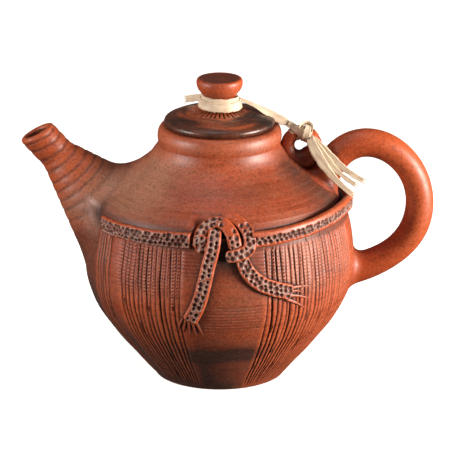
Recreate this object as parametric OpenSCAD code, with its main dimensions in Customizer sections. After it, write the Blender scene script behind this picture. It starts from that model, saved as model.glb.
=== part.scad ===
// Clay teapot with a knotted clay sash, and a lid that is tied on with raffia.
// Millimetres, +Z up, origin at the middle of the foot, spout towards -X, handle towards +X.

/* [Bowl] */
// Radius of the flat foot
foot_r = 35.5; // [30:0.5:42]
// Widest outer radius of the bowl
belly_r = 72.6; // [66:0.1:80]
// Height of the widest part of the bowl
belly_z = 66; // [58:1:74]
// Outer radius of the bowl's edge, behind the sash
edge_r = 68; // [62:0.5:74]
// Height of the bowl's edge
edge_z = 96; // [88:1:106]
// Thickness of the thrown wall
wall = 5.5; // [4:0.1:7]
// Thickness of the floor
floor_t = 6; // [4:0.5:9]

/* [Combing] */
// Distance round the belly between the main combed grooves
comb_pitch = 11.2; // [8:0.1:16]
// Width of a combed groove
comb_w = 1.4; // [0.8:0.1:2]
// Depth of a combed groove
comb_d = 0.8; // [0.4:0.1:1.2]

/* [Shoulder and rim] */
// Width of the groove between the bowl's edge and the shoulder
groove_w = 3.4; // [2:0.1:5]
// Depth of that groove
groove_d = 3; // [1.5:0.1:4]
// Height of the shoulder, from the bowl's edge to the neck
shoulder_h = 30.5; // [25:0.5:36]
// Outer radius of the neck at its narrowest
neck_r = 32.8; // [29:0.1:37]
// How far the rim's roll stands out from the neck
rim_roll = 0.8; // [0.4:0.1:2]
// Height of the rim, from the neck to the lid's seat
rim_h = 12.1; // [9:0.1:14]
// Inner radius of the throat
throat_r = 24.5; // [21:0.1:26]

/* [Spout] */
// How far the mouth's middle stands out past the belly
spout_reach = 25.8; // [18:0.1:34]
// How far the mouth's middle lies below the lid's seat
spout_drop = 3.9; // [0:0.1:10]
// Lean of the spout from upright, in degrees
spout_lean = 42; // [36:1:48]
// Outer radius of the spout near its mouth
spout_r = 9.4; // [8:0.1:13]
// Length of the straight part behind the mouth
spout_straight = 17; // [12:1:22]
// Growth of the radius for each millimetre below the straight part
spout_flare = 0.36; // [0.28:0.01:0.42]
// Thickness of the spout's wall
spout_wall = 2.6; // [2.2:0.1:4]
// Angle between the mouth's cut and a square cut, in degrees
mouth_cut = 14; // [0:1:20]
// Number of throwing ridges
ridge_count = 10; // [6:1:12]
// Distance from one ridge to the next
ridge_pitch = 4.3; // [3:0.1:5]
// Height of a ridge
ridge_h = 0.5; // [0.2:0.1:1]
// Radius of each strainer hole in the bowl's wall
strainer_r = 1.7; // [1.5:0.1:3]
// Distance of the outer strainer holes from the middle one
strainer_ring = 8.5; // [7.5:0.1:11]

/* [Handle] */
// Radius of the handle's round section
handle_r = 7.5; // [6:0.1:9]
// Room for the fingers between the belly and the handle
finger_room = 27.6; // [22:0.1:36]
// Share by which the handle thickens at its roots
root_growth = 0.12; // [0:0.01:0.25]

/* [Lug] */
// Distance of the lug's middle from the neck
lug_out = 11; // [10.6:0.1:14]
// Height of the lug's middle above the neck
lug_up = 0.5; // [0:0.1:3]
// Radius of the lug's ring to the middle of its section
lug_ring_r = 7.3; // [6.5:0.1:8.5]
// Radius of the lug's round section
lug_bar_r = 3; // [2.4:0.1:3.4]

/* [Sash] */
// Height of the sash's strip
sash_h = 8; // [6:0.1:10]
// Thickness of the sash's strip
sash_t = 2.5; // [1.5:0.1:3.5]
// How far the sash's top stands above the bowl's edge
sash_over = 2.5; // [1:0.1:4]
// Angle from the front to the sash's ends at the spout, in degrees
sash_end = 68; // [60:1:72]
// Height of one step in the drawing of the knot and its tails
knot_step = 1; // [0.8:0.05:1.1]
// Thickness of the knot's strips
knot_t = 2.6; // [1.8:0.1:3.5]
// Width of the knot's left loop
loop_w = 5.6; // [4:0.1:6.2]
// Width of the knot's right loop
back_loop_w = 4; // [3:0.1:4.6]
// Width of the strip that crosses the knot
bar_w = 5; // [3.5:0.1:5.6]
// Width of the hanging tails
tail_w = 6.8; // [5:0.1:7.2]

/* [Lid] */
// Radius of the lid
lid_r = 29.7; // [28:0.1:31]
// Thickness of the lid's rounded edge
lid_edge = 4.2; // [3:0.1:5]
// Height of the lid's top land above its seat
lid_h = 9.2; // [8:0.1:13]
// Clearance between the lid's flange and the throat
flange_gap = 1.5; // [1:0.1:2.5]
// Thickness of the flange
flange_t = 4; // [3:0.1:5]
// Depth of the flange below the seat
flange_d = 7; // [5:0.5:10]
// Radius of the knob's neck
knob_neck_r = 8.4; // [7:0.1:9.5]
// Widest radius of the knob
knob_r = 12.4; // [10.5:0.1:15]
// Height of the knob
knob_h = 16.6; // [14:0.1:20]

/* [Raffia] */
// Thickness of a raffia strip
strip_t = 0.7; // [0.5:0.1:0.9]
// Width of the strip round the knob
wrap_w = 4.6; // [3:0.1:5]
// Turns of the strip round the knob
wrap_turns = 2; // [1:1:3]
// Width of the tether
tether_w = 4.2; // [3:0.1:5]
// Width of the hanging ends
end_w = 2.8; // [2:0.1:3.4]
// Turns of the strip round the lug
hitch_turns = 3; // [2:1:3]
// Clearance between the raffia and the clay
raffia_gap = 0.3; // [0.3:0.05:0.6]

/* [Hidden] */
$fn = 64;
clay = "#a5522f";
dark_clay = "#5b3022";
raffia = "#e6d3ab";
// Thickness of the dried slip between a luted piece and the bowl
slip = 0.1;
// Heights that follow from the sizes above
neck_z = edge_z + shoulder_h;
seat_z = neck_z + rim_h;
land_z = seat_z + lid_h;
sash_top = edge_z + sash_over;
sash_mid = sash_top - sash_h / 2;
shoulder_r = edge_r - groove_w;
foot_round = 1;
// Steps along each curve of the outlines
steps = 10;

// Points along a curve that starts and ends at the first and last of four points
function curve(p, n) = [for (i = [0:n]) let (t = i / n, s = 1 - t)
  s * s * s * p[0] + 3 * s * s * t * p[1] + 3 * s * t * t * p[2] + t * t * t * p[3]];
// A list without its first entry
function rest(l) = [for (i = [1:len(l) - 1]) l[i]];
// A vector's direction, one long
function unit(v) = v / norm(v);
// The direction of a path at one of its points
function along(p, i) = unit(p[min(i + 1, len(p) - 1)] - p[max(i - 1, 0)]);

// Outline of the bowl: flat foot, straight flare, round belly, edge behind the sash
flare_at = [0.77, 0.515];
turn_at = 0.667;
flare_point = [foot_r + flare_at[0] * (belly_r - foot_r), flare_at[1] * belly_z];
bowl_low = curve([[foot_r, foot_round], flare_point, [belly_r, turn_at * belly_z],
  [belly_r, belly_z]], steps);
bowl_high = curve([[belly_r, belly_z], [belly_r, belly_z + (edge_z - belly_z) / 3],
  [edge_r + (belly_r - edge_r) / 2, edge_z - (edge_z - belly_z) * 0.4], [edge_r, edge_z]], steps);
bowl_out = concat(bowl_low, rest(bowl_high));

// Outline of the shoulder, the neck and the rim's roll
shoulder_low = [shoulder_r, edge_z + 1.5];
shoulder_out = curve([shoulder_low, shoulder_low + [-1.4, 9.5], [neck_r + 15.2, neck_z - 16.5],
  [neck_r + 0.2, neck_z]], steps);
seat_r = neck_r - 2.8;
rim_out = curve([[neck_r - 0.2, neck_z + 2.7], [neck_r + 1.5 * rim_roll, neck_z + rim_h / 2],
  [neck_r + 0.6 * rim_roll, seat_z], [seat_r, seat_z]], steps);
seam_out = [shoulder_r - groove_w / 4, edge_z - groove_d];
foot_out = [foot_r - foot_round, 0];
bowl_edge = concat([foot_out], bowl_out, [[edge_r - groove_w / 3, edge_z], seam_out]);
outline = concat(bowl_edge, shoulder_out, rim_out);

// Inside of the wall, from the throat down to the seam on the bowl and from there to the floor
inner_belly = belly_r - wall;
seam_in = [shoulder_r - wall - 1.6, edge_z - 2];
throat_low = neck_z - 2;
shoulder_in = concat([[throat_r, seat_z], [throat_r, throat_low]],
  curve([[throat_r + 2, throat_low - 2], [neck_r + 11, neck_z - 17.5],
    [seam_in[0], seam_in[1] + 8], seam_in + [0, slip]], steps));
bowl_in = concat(
  curve([seam_in, [seam_in[0] + 5, edge_z - 14], [inner_belly, belly_z + 10],
    [inner_belly, belly_z]], steps),
  rest(curve([[inner_belly, belly_z], [inner_belly, turn_at * belly_z + wall * 0.4],
    flare_point + [-wall * 1.1, wall * 0.5], [foot_r - wall, floor_t]], steps)),
  [[0, floor_t], [0, 0]]);

// Solid that fills the pot's outline, to which luted pieces are fitted
module pot_fill(gap) {
  rotate_extrude()
    polygon(concat([[0, -gap]], [for (p = outline) p + [gap, 0]], [[0, seat_z + gap]]));
}

// Radius at which a strip rests on the bowl, or leans over the groove on the shoulder
lean_from = 2;
rest_list = concat([for (p = bowl_out) [p[1], p[0]]],
  [for (i = [lean_from:steps]) [shoulder_out[i][1], shoulder_out[i][0]]]);
function rest_r(z) = lookup(z, rest_list);
// Direction straight off the pot at an angle off the front and a height
reach_z = 1;
function off_pot(q) = let (slope = (rest_r(q[1] + reach_z) - rest_r(q[1] - reach_z)) / (2 * reach_z))
  unit([sin(q[0]), -cos(q[0]), -slope]);
// Point above the pot at that angle and height, lifted straight off its surface
function on_pot(q, lift) = rest_r(q[1]) * [sin(q[0]), -cos(q[0]), 0] + [0, 0, q[1]] + lift * off_pot(q);

// Flattened eight-sided section, as shares of the half width and half thickness
octagon = [[1, 0.4], [0.8, 1], [-0.8, 1], [-1, 0.4], [-1, -0.4], [-0.8, -1], [0.8, -1], [1, -0.4]];
hexagon = [[1, 0], [0.7, 1], [-0.7, 1], [-1, 0], [-0.7, -1], [0.7, -1]];
// Corners of one ring of a strip about a point of its path
function ring(p, side, face, section) = [for (c = section) p + c[0] * side + c[1] * face];
// Triangles that skin a row of rings with n corners each, with both ends closed
function skin_faces(rows, n) = concat(
  [for (i = [0:rows - 2], j = [0:n - 1]) [i * n + j, (i + 1) * n + j, i * n + (j + 1) % n]],
  [for (i = [0:rows - 2], j = [0:n - 1]) [i * n + (j + 1) % n, (i + 1) * n + j, (i + 1) * n + (j + 1) % n]],
  [for (j = [1:n - 2]) [0, j, j + 1]],
  [for (j = [1:n - 2]) [(rows - 1) * n, (rows - 1) * n + j + 1, (rows - 1) * n + j]]);
module skin(rings) {
  polyhedron([for (r = rings) each r], skin_faces(len(rings), len(rings[0])));
}

// A strip that follows a path, with one facing direction for each point
module strip(path, facing, w, t) {
  skin([for (i = [0:len(path) - 1]) let (side = unit(cross(along(path, i), facing[i])))
    ring(path[i], side * w / 2, unit(cross(side, along(path, i))) * t / 2, octagon)]);
}

// A smooth line through points, with some steps from each to the next
function smooth(p, n) = concat([for (i = [0:len(p) - 2], k = [0:n - 1]) let (t = k / n,
  a = p[max(i - 1, 0)], b = p[i], c = p[i + 1], d = p[min(i + 2, len(p) - 1)])
  b + t * (c - a) / 2 + t * t * (2 * a - 5 * b + 4 * c - d) / 2
    + t * t * t * (3 * b - a - 3 * c + d) / 2], [p[len(p) - 1]]);

// A clay strip laid on the pot along points of angle and steps above the sash's middle
laid_steps = 4;
module laid_strip(points, w) {
  q = smooth([for (p = points) [p[0], sash_mid + p[1] * knot_step]], laid_steps);
  strip([for (p = q) on_pot(p, slip + knot_t / 2)], [for (p = q) off_pot(p)], w, knot_t);
}

// Body of the pot: bowl, shoulder, neck and rim thrown as one, pierced behind the spout
mouth_mid = [-(belly_r + spout_reach), 0, seat_z - spout_drop];
strainer_holes = 6;
strainer_top = 40;
strainer_end = 72;
module in_spout() {
  translate(mouth_mid)
    rotate([0, -spout_lean, 0])
      children();
}

// Combed grooves: blades that follow the bowl from above the foot to under the sash and run out at both ends
comb_panels = [[-63, -14.5], [20.3, 74], [107, 246]];
comb_step = comb_pitch / belly_r * 180 / PI;
comb_over = 1;
comb_start = foot_round + 4;
comb_end = sash_top - sash_h - 1;
combed = [for (p = bowl_out) if (p[1] > comb_start && p[1] < comb_end) p];
comb_last = len(combed) - 1;
comb_floor = [for (i = [0:comb_last]) combed[i] - [i == 0 || i == comb_last ? 0 : comb_d, 0]];
comb_face = [for (i = [comb_last:-1:0]) combed[i] + [comb_over, 0]];
module combing() {
  for (panel = comb_panels, azimuth = [panel[0]:comb_step:panel[1]])
    rotate([90, 0, azimuth - 90])
      linear_extrude(comb_w, center = true)
        polygon(concat(comb_floor, comb_face));
}
// Strainer: holes through the wall behind the spout, one in the middle and a ring about it
module strainer() {
  in_spout() {
    translate([0, 0, -strainer_end])
      cylinder(h = strainer_end - strainer_top, r = strainer_r);
    for (i = [1:strainer_holes])
      rotate([0, 0, i * 360 / strainer_holes])
        translate([strainer_ring, 0, -strainer_end])
          cylinder(h = strainer_end - strainer_top, r = strainer_r);
  }
}
module bowl() {
  color(clay)
    difference() {
      rotate_extrude()
        polygon(concat(bowl_edge, bowl_in));
      combing();
      strainer();
    }
}
// Shoulder, neck and rim, luted on to the bowl's edge behind the sash
module shoulder() {
  color(clay)
    difference() {
      rotate_extrude()
        polygon(concat([seam_out + [0, slip]], shoulder_out, rim_out, shoulder_in));
      strainer();
    }
}

// Spout: thrown tube with ridges that flares to its root on the bowl
root_sunk = 25.45;
spout_len = (spout_reach + root_sunk) / sin(spout_lean);
mouth_over = 4;
ridge_first = 3;
cutter = 60;
function spout_out(d) = spout_r + spout_flare * max(0, d - spout_straight);
ridges = [for (i = [0:ridge_count - 1], k = [0, 0.5]) let (d = ridge_first + (i + k) * ridge_pitch)
  [spout_out(d) + (k == 0 ? ridge_h : 0), -d]];
bore = [for (d = [spout_len, spout_straight, -mouth_over]) [spout_out(d) - spout_wall, -d]];
module spout() {
  color(clay)
    difference() {
      in_spout()
        difference() {
          rotate_extrude()
            polygon(concat([[spout_r, mouth_over]], ridges, [[spout_out(spout_len), -spout_len]], bore));
          rotate([0, mouth_cut, 0])
            translate([-cutter / 2, -cutter / 2, 0])
              cube(cutter);
        }
      pot_fill(slip);
    }
}

// Handle: pulled round bar from the shoulder over to the belly
handle_x = belly_r + finger_room + handle_r;
handle_z = edge_z - 1;
handle_sides = 16;
handle_steps = 12;
lug_room = 10.2;
handle_start = [neck_r + lug_out + lug_room, 0, edge_z + 7];
handle_end = [belly_r - 6.6, 0, belly_z - 10];
handle_path = concat(
  curve([handle_start, [handle_start[0] + 12, 0, neck_z + 21], [handle_x, 0, neck_z],
    [handle_x, 0, handle_z]], handle_steps),
  rest(curve([[handle_x, 0, handle_z], [handle_x, 0, belly_z + 6], [handle_x - 19.7, 0, belly_z - 6],
    handle_end], handle_steps)));
circle_section = [for (j = [0:handle_sides - 1]) let (a = j * 360 / handle_sides) [cos(a), sin(a)]];
function handle_grow(i) = 1 + root_growth * pow(2 * i / (len(handle_path) - 1) - 1, 4);
module handle() {
  color(clay)
    difference() {
      skin([for (i = [0:len(handle_path) - 1]) let (r = handle_r * handle_grow(i))
        ring(handle_path[i], [0, r, 0], r * cross([0, 1, 0], along(handle_path, i)), circle_section)]);
      pot_fill(slip);
    }
}

// Lug: small ring stood on the shoulder between the neck and the handle
lug_mid = [neck_r + lug_out, 0, neck_z + lug_up];
module lug_ring() {
  color(clay)
    difference() {
      translate(lug_mid)
        rotate([90, 0, 0])
          rotate_extrude()
            translate([lug_ring_r, 0])
              circle(lug_bar_r);
      pot_fill(slip);
    }
}

// Sash: flat strips of clay laid round the bowl's edge
sash_steps = 6;
sash_round = 0.9;
knot_left = 6.8;
knot_right = 17.4;
sash_out = rest_r(sash_top - sash_h) + sash_t;
sash_section = concat([for (i = [0:sash_steps]) let (z = sash_top - i * sash_h / sash_steps)
  [lookup(min(z, edge_z), rest_list) + slip, z]],
  [[sash_out - sash_round, sash_top - sash_h], [sash_out, sash_top - sash_h + sash_round],
  [sash_out, sash_top - sash_round], [sash_out - sash_round, sash_top]]);
// A length of sash between two angles off the front
module sash(from, to) {
  rotate([0, 0, from - 90])
    rotate_extrude(angle = to - from)
      polygon(sash_section);
}
module sash_left() {
  color(dark_clay)
    sash(-sash_end, -knot_left);
}
module sash_right() {
  color(dark_clay)
    sash(knot_right, 180 + sash_end);
}

// Knot of the sash: two loops, a crossing strip and two hanging tails
module knot_left_loop() {
  color(dark_clay)
    laid_strip([[-8.3, 7.2], [-5.5, 9], [-1.5, 9.6], [2.5, 8.3], [5.6, 5], [7, 1], [7.3, -2]], loop_w);
}
module knot_right_loop() {
  color(dark_clay)
    laid_strip([[7.6, 11.2], [11, 9.8], [13.6, 6.6], [14.8, 2.6], [14.6, -1.4], [13.6, -4]], back_loop_w);
}
module knot_crossing() {
  color(dark_clay)
    laid_strip([[1.2, -7.2], [4.4, -6.8], [8, -6], [11.4, -5]], bar_w);
}
module left_tail() {
  color(dark_clay)
    laid_strip([[-2, 5.6], [-2.8, -1], [-4, -7.5], [-5.6, -14.5], [-7.1, -22], [-9.1, -31], [-11.2, -38.5],
      [-12.8, -43]], tail_w);
}
module right_tail() {
  color(dark_clay)
    laid_strip([[10.4, -8.8], [11.4, -12.4], [12.8, -16], [15.8, -21], [20.4, -25.2], [25.6, -27.8],
      [30.6, -29.6]], tail_w);
}

// Lid: domed disc that rests on the rim
lid_low = 1.4;
knob_foot = 1.2;
land_r = knob_neck_r + knob_foot + 1;
hollow_r = throat_r - flange_gap - flange_t - 1;
lid_roll = curve([[lid_r - lid_low, seat_z], [lid_r + 0.6, seat_z + lid_edge * 0.3],
  [lid_r + 0.4, seat_z + lid_edge * 0.8], [lid_r - lid_low, seat_z + lid_edge]], steps);
lid_dome = curve([[lid_r - lid_low, seat_z + lid_edge], [lid_r - 7, seat_z + lid_edge + 2.7],
  [land_r + 4, land_z - 1], [land_r, land_z]], steps);
lid_hollow = curve([[0, seat_z + lid_h / 2], [hollow_r / 2, seat_z + lid_h / 2],
  [hollow_r - 2, seat_z + lid_h / 4], [hollow_r, seat_z]], steps);
module lid() {
  color(dark_clay)
    rotate_extrude()
      polygon(concat(lid_roll, rest(lid_dome), [[0, land_z]], lid_hollow));
}

// Flange: ring luted under the lid that keeps it in the throat
flange_r = throat_r - flange_gap;
flange_taper = 0.8;
module lid_flange() {
  color(clay)
    rotate_extrude()
      polygon([[flange_r - flange_t, seat_z], [flange_r - flange_t, seat_z - flange_d],
        [flange_r - flange_taper, seat_z - flange_d], [flange_r, seat_z]]);
}

// Knob: waisted grip on the lid's land
knob_waist = land_z + knob_h * 0.41;
knob_top = land_z + knob_h;
knob_brow = knob_top - 2.2;
knob_side = curve([[knob_neck_r, knob_waist], [knob_neck_r + 0.4, knob_waist + knob_h * 0.22],
  [knob_r + 0.2, knob_waist + knob_h * 0.19], [knob_r, knob_brow]], steps);
knob_edge = curve([[knob_r, knob_brow], [knob_r, knob_brow + 1.3], [knob_r - 0.5, knob_top],
  [knob_r - 1.4, knob_top]], steps);
module knob() {
  color(clay)
    rotate_extrude()
      polygon(concat([[0, land_z], [knob_neck_r + knob_foot, land_z], [knob_neck_r, land_z + knob_foot]],
        knob_side, rest(knob_edge), [[0, knob_top - 0.4]]));
}

// Winding round the knob's neck: one flat strip, each turn over the last, its end loose behind the knob
wrap_z = land_z + 4;
loop_rings = 24;
wrap_pitch = strip_t + 0.5;
wrap_more = 6;
wrap_count = wrap_turns * loop_rings + wrap_more;
wrap_in = knob_neck_r + raffia_gap + strip_t / 2;
wrap_out = wrap_in + wrap_count * wrap_pitch / loop_rings;
loose_end = [[-4, 0.3, 0.1], [-8, 0.4, 0.3], [-12, 0.2, 0.3], [-14.5, 0, 0.2], [-17, -0.3, 0]];
wrap_path = concat([for (i = [0:wrap_count])
  let (a = i * 360 / loop_rings, r = wrap_in + i * wrap_pitch / loop_rings)
  [r * cos(a), r * sin(a), wrap_z]], [for (p = loose_end) p + [0, wrap_out, wrap_z]]);
wrap_rings = [for (i = [0:len(wrap_path) - 1])
  ring(wrap_path[i], [0, 0, wrap_w / 2], cross(along(wrap_path, i), [0, 0, 1]) * strip_t / 2, hexagon)];
module knob_wrap() {
  color(raffia)
    skin(wrap_rings);
}
// Least distance between corners of rings that lie at least half a turn apart
function least_gap(rings, apart) = min([for (i = [0:len(rings) - apart - 1],
  j = [i + apart:len(rings) - 1], a = rings[i], b = rings[j]) norm(a - b)]);
echo(knob_wrap_least_gap = least_gap(wrap_rings, loop_rings / 2));

// Winding round the top of the lug: one strip, narrow inside the ring where it is drawn together
hitch_from = 122;
hitch_pitch = 27;
hitch_half = 8.5;
hitch_r = lug_bar_r + raffia_gap + strip_t / 2;
function on_lug(ring_angle, turn, r) = lug_mid + [0, -r * sin(turn), 0]
  + (lug_ring_r + r * cos(turn)) * [cos(ring_angle), 0, sin(ring_angle)];
function hitch_ring(i) = let (turn = 360 * i / loop_rings, a = hitch_from - hitch_pitch * i / loop_rings)
  [for (c = hexagon) on_lug(a + c[0] * hitch_half, turn, hitch_r + c[1] * strip_t / 2)];
hitch_rings = [for (i = [0:hitch_turns * loop_rings]) hitch_ring(i)];
module lug_hitch() {
  color(raffia)
    skin(hitch_rings);
}
echo(lug_hitch_least_gap = least_gap(hitch_rings, loop_rings / 2));

// Tether: strip from the winding on the knob, over the lid and rim, to the winding on the lug
pivot_lift = 0.5;
pivot = on_lug(hitch_from - 10, 0, hitch_r + strip_t + pivot_lift);
rim_clear = neck_r + rim_roll;
tether_path = curve([[wrap_out + strip_t + raffia_gap, 0, wrap_z], [lid_r - 8, 0, seat_z + lid_edge + 5.5],
  [rim_clear - 4, 0, seat_z + 3.4], pivot], steps);
module tether() {
  color(raffia)
    strip(tether_path, [for (p = tether_path) [0.5, 0, 1]], tether_w, strip_t);
}

// Ends of the strip that hang from the lug in front of the handle's root
end_layer = strip_t + raffia_gap;
end_start = on_lug(52, 90, hitch_r + strip_t / 2 + end_layer);
handle_front = handle_r * (1 + root_growth) + end_layer;
module hanging_end(points, layer) {
  shift = [0, -layer * end_layer, 0];
  fall = [for (p = points) lug_mid + [p[0], -handle_front, p[1]] + shift];
  color(raffia)
    strip(curve(concat([end_start + shift], fall), steps), [for (i = [0:steps]) [0, -1, 0]], end_w, strip_t);
}
module end_upper() {
  hanging_end([[12, -1], [22, -11], [33, -17]], 0);
}
module end_middle() {
  hanging_end([[11, -3], [19, -13], [28.8, -18.8]], 1);
}
module end_lower() {
  hanging_end([[8, -4], [16, -15], [27.2, -24.2]], 2);
}

bowl();
shoulder();
spout();
handle();
lug_ring();
sash_left();
sash_right();
knot_left_loop();
knot_right_loop();
knot_crossing();
left_tail();
right_tail();
lid();
lid_flange();
knob();
knob_wrap();
tether();
lug_hitch();
end_upper();
end_middle();
end_lower();
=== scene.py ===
"""Clay teapot with a knotted clay sash and a lid tied on with raffia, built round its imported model."""
import math

import bpy
import mathutils
import numpy as np
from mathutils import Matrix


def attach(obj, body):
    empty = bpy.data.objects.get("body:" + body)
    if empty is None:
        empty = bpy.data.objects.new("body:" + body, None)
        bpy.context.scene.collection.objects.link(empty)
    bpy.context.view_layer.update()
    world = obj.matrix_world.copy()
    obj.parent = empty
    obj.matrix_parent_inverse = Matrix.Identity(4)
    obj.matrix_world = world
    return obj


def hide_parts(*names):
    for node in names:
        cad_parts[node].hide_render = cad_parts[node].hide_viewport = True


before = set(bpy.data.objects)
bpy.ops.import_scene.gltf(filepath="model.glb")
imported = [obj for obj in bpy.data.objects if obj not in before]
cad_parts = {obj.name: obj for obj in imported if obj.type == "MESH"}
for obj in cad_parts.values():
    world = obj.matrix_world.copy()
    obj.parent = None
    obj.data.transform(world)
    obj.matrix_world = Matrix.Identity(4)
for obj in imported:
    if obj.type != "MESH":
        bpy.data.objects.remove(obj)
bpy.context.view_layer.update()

bl_info = {
    "name": "Clay teapot with a tied lid",
    "version": (1, 0, 0),
    "blender": (4, 5, 0),
    "location": "3D View > Sidebar > Teapot",
    "description": "Builds the pieces of a smoked clay teapot with a knotted sash and a raffia tie",
    "category": "Object",
}

MM = 0.001

# Outlines of the pot in millimetres, radius and height, as controls of cubic curves
BELLY_R = 72.6
FOOT_TO_BELLY = ((35.5, 1.0), (64.07, 33.99), (BELLY_R, 44.02), (BELLY_R, 66.0))
BELLY_TO_EDGE = ((BELLY_R, 66.0), (BELLY_R, 76.0), (70.3, 84.0), (68.0, 96.0))
SHOULDER = ((64.6, 97.5), (63.2, 107.0), (48.0, 110.0), (33.0, 126.5))
RIM = ((32.6, 129.2), (34.0, 132.55), (33.28, 138.6), (30.0, 138.6))
UNDER_SHOULDER = ((26.5, 122.5), (43.8, 109.0), (57.5, 102.0), (57.5, 94.0))
INNER_HIGH = ((57.5, 92.8), (62.5, 82.0), (67.1, 76.0), (67.1, 66.0))
INNER_LOW = ((67.1, 66.0), (67.1, 46.2), (58.0, 36.7), (30.0, 6.0))
SEAT_Z = 138.6
THROAT_R = 24.5
# Middle height of the sash, and the share of the shoulder's curve from which a strip rests on it
SASH_MID = 94.5
LEAN_SHARE = 0.2
# How far the shoulder's lower edge is drawn out at the left, and the heights over which that starts
DRAWN_OUT = 4.4
DRAWN_SPAN = (109.0, 98.0)
# Arc in millimetres of one degree round the belly
DEGREE = math.pi * BELLY_R / 180.0


# Curves and surfaces

def bezier(controls, count):
    """Cubic curve: the four controls weighted by (1-t)^3, 3(1-t)^2 t, 3(1-t)t^2 and t^3."""
    t = np.linspace(0.0, 1.0, count)[:, None]
    a, b, c, d = np.asarray(controls, float)
    s = 1.0 - t
    return s**3 * a + 3 * s * s * t * b + 3 * s * t * t * c + t**3 * d


def ease(x, start, end):
    """0 before start, 1 after end, and 3t^2 - 2t^3 between them; start may be the larger."""
    t = np.clip((np.asarray(x, float) - start) / (end - start), 0.0, 1.0)
    return t * t * (3.0 - 2.0 * t)


def within(x, start, full, last, end):
    """1 from full to last and 0 outside start and end, eased between them."""
    return ease(x, start, full) * ease(x, end, last)


def bell(x, middle, spread):
    """exp(-d^2), with d the distance from a middle counted in spreads."""
    return np.exp(-((x - middle) / spread) ** 2)


def wave(x, pitch, phase=0.0):
    """Wave between 0 and 1: half of 1 + cos(2 pi x / pitch + phase)."""
    return 0.5 + 0.5 * np.cos(2 * math.pi * x / pitch + phase)


def through(points, count):
    """Smooth line through points: between neighbours a cubic whose slope at a point is half the step
    from the point before to the point after."""
    p = np.asarray(points, float)
    u = np.linspace(0.0, len(p) - 1.0, count)
    i = np.minimum(u.astype(int), len(p) - 2)
    t = (u - i)[:, None]
    a, b = p[np.maximum(i - 1, 0)], p[i]
    c, d = p[i + 1], p[np.minimum(i + 2, len(p) - 1)]
    return (b + t * (c - a) / 2 + t * t * (2 * a - 5 * b + 4 * c - d) / 2
            + t**3 * (3 * b - a - 3 * c + d) / 2)


def unit(v):
    """Vectors scaled to length one."""
    return v / np.maximum(np.linalg.norm(v, axis=-1, keepdims=True), 1e-9)


def travelled(path):
    """Length along a path up to each of its points."""
    return np.concatenate([[0.0], np.cumsum(np.linalg.norm(np.diff(path, axis=0), axis=1))])


def evenly(path, step):
    """The same path with its points about one step apart."""
    s = travelled(path)
    at = np.linspace(0.0, s[-1], max(int(s[-1] / step), 4) + 1)
    return np.stack([np.interp(at, s, path[:, k]) for k in range(path.shape[1])], -1)


BOWL_SIDE = np.concatenate([bezier(FOOT_TO_BELLY, 80), bezier(BELLY_TO_EDGE, 50)[1:]])
SHOULDER_SIDE = bezier(SHOULDER, 61)
RESTING_SIDE = np.concatenate([BOWL_SIDE, SHOULDER_SIDE[int(LEAN_SHARE * 60):]])


def pot_radius(z):
    """Radius at which a luted piece rests: the bowl's outline, then straight over the groove to the
    shoulder."""
    return np.interp(z, RESTING_SIDE[:, 1], RESTING_SIDE[:, 0])


def shoulder_radius(z):
    """Radius of the shoulder's own outline, which goes straight down below its lower edge."""
    return np.interp(z, SHOULDER_SIDE[:, 1], SHOULDER_SIDE[:, 0])


def drawn_radius(z):
    """Radius of the pot at the left, where the shoulder's lower edge is drawn out over the groove."""
    return np.maximum(shoulder_radius(z) + DRAWN_OUT * ease(z, *DRAWN_SPAN), pot_radius(z))


def on_pot(azimuth, z, lift, seat=pot_radius):
    """Points at an azimuth off the front in degrees and a height, lifted straight off the pot, with the
    directions straight off it: the outline's slope tips the level direction."""
    a = np.radians(azimuth)
    slope = (seat(z + 1.0) - seat(z - 1.0)) / 2.0
    level = np.stack([np.sin(a), -np.cos(a), np.zeros_like(a)], -1)
    normal = unit(level - np.stack([0 * slope, 0 * slope, slope], -1))
    point = level * seat(z)[..., None] + np.stack([0 * z, 0 * z, z], -1)
    return point + normal * np.asarray(lift, float)[..., None], normal


def turned(outline, azimuths, shift=None):
    """Turned form: an outline of radius and height is carried round the pot's axis to the azimuths, one for
    each column or for each grid point. shift moves each grid point straight off the outline, along the
    outline's direction turned a quarter."""
    along = unit(np.gradient(outline, axis=0))
    a = np.radians(np.atleast_2d(azimuths)) + 0 * outline[:, :1]
    r = outline[:, :1] + 0 * a
    z = outline[:, 1:] + 0 * a
    if shift is not None:
        r = r + shift * along[:, 1:]
        z = z - shift * along[:, :1]
    return np.stack([r * np.sin(a), -r * np.cos(a), z], -1)


def swept(path, facing, across, height):
    """Carried section: at each point of the path the section's across values go along the side direction,
    which is the path's direction crossed with the facing one, and its heights along the facing direction."""
    along = unit(np.gradient(path, axis=0))
    side = unit(np.cross(along, facing))
    face = np.cross(side, along)
    return path[:, None] + across[..., None] * side[:, None] + height[..., None] * face[:, None]


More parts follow.
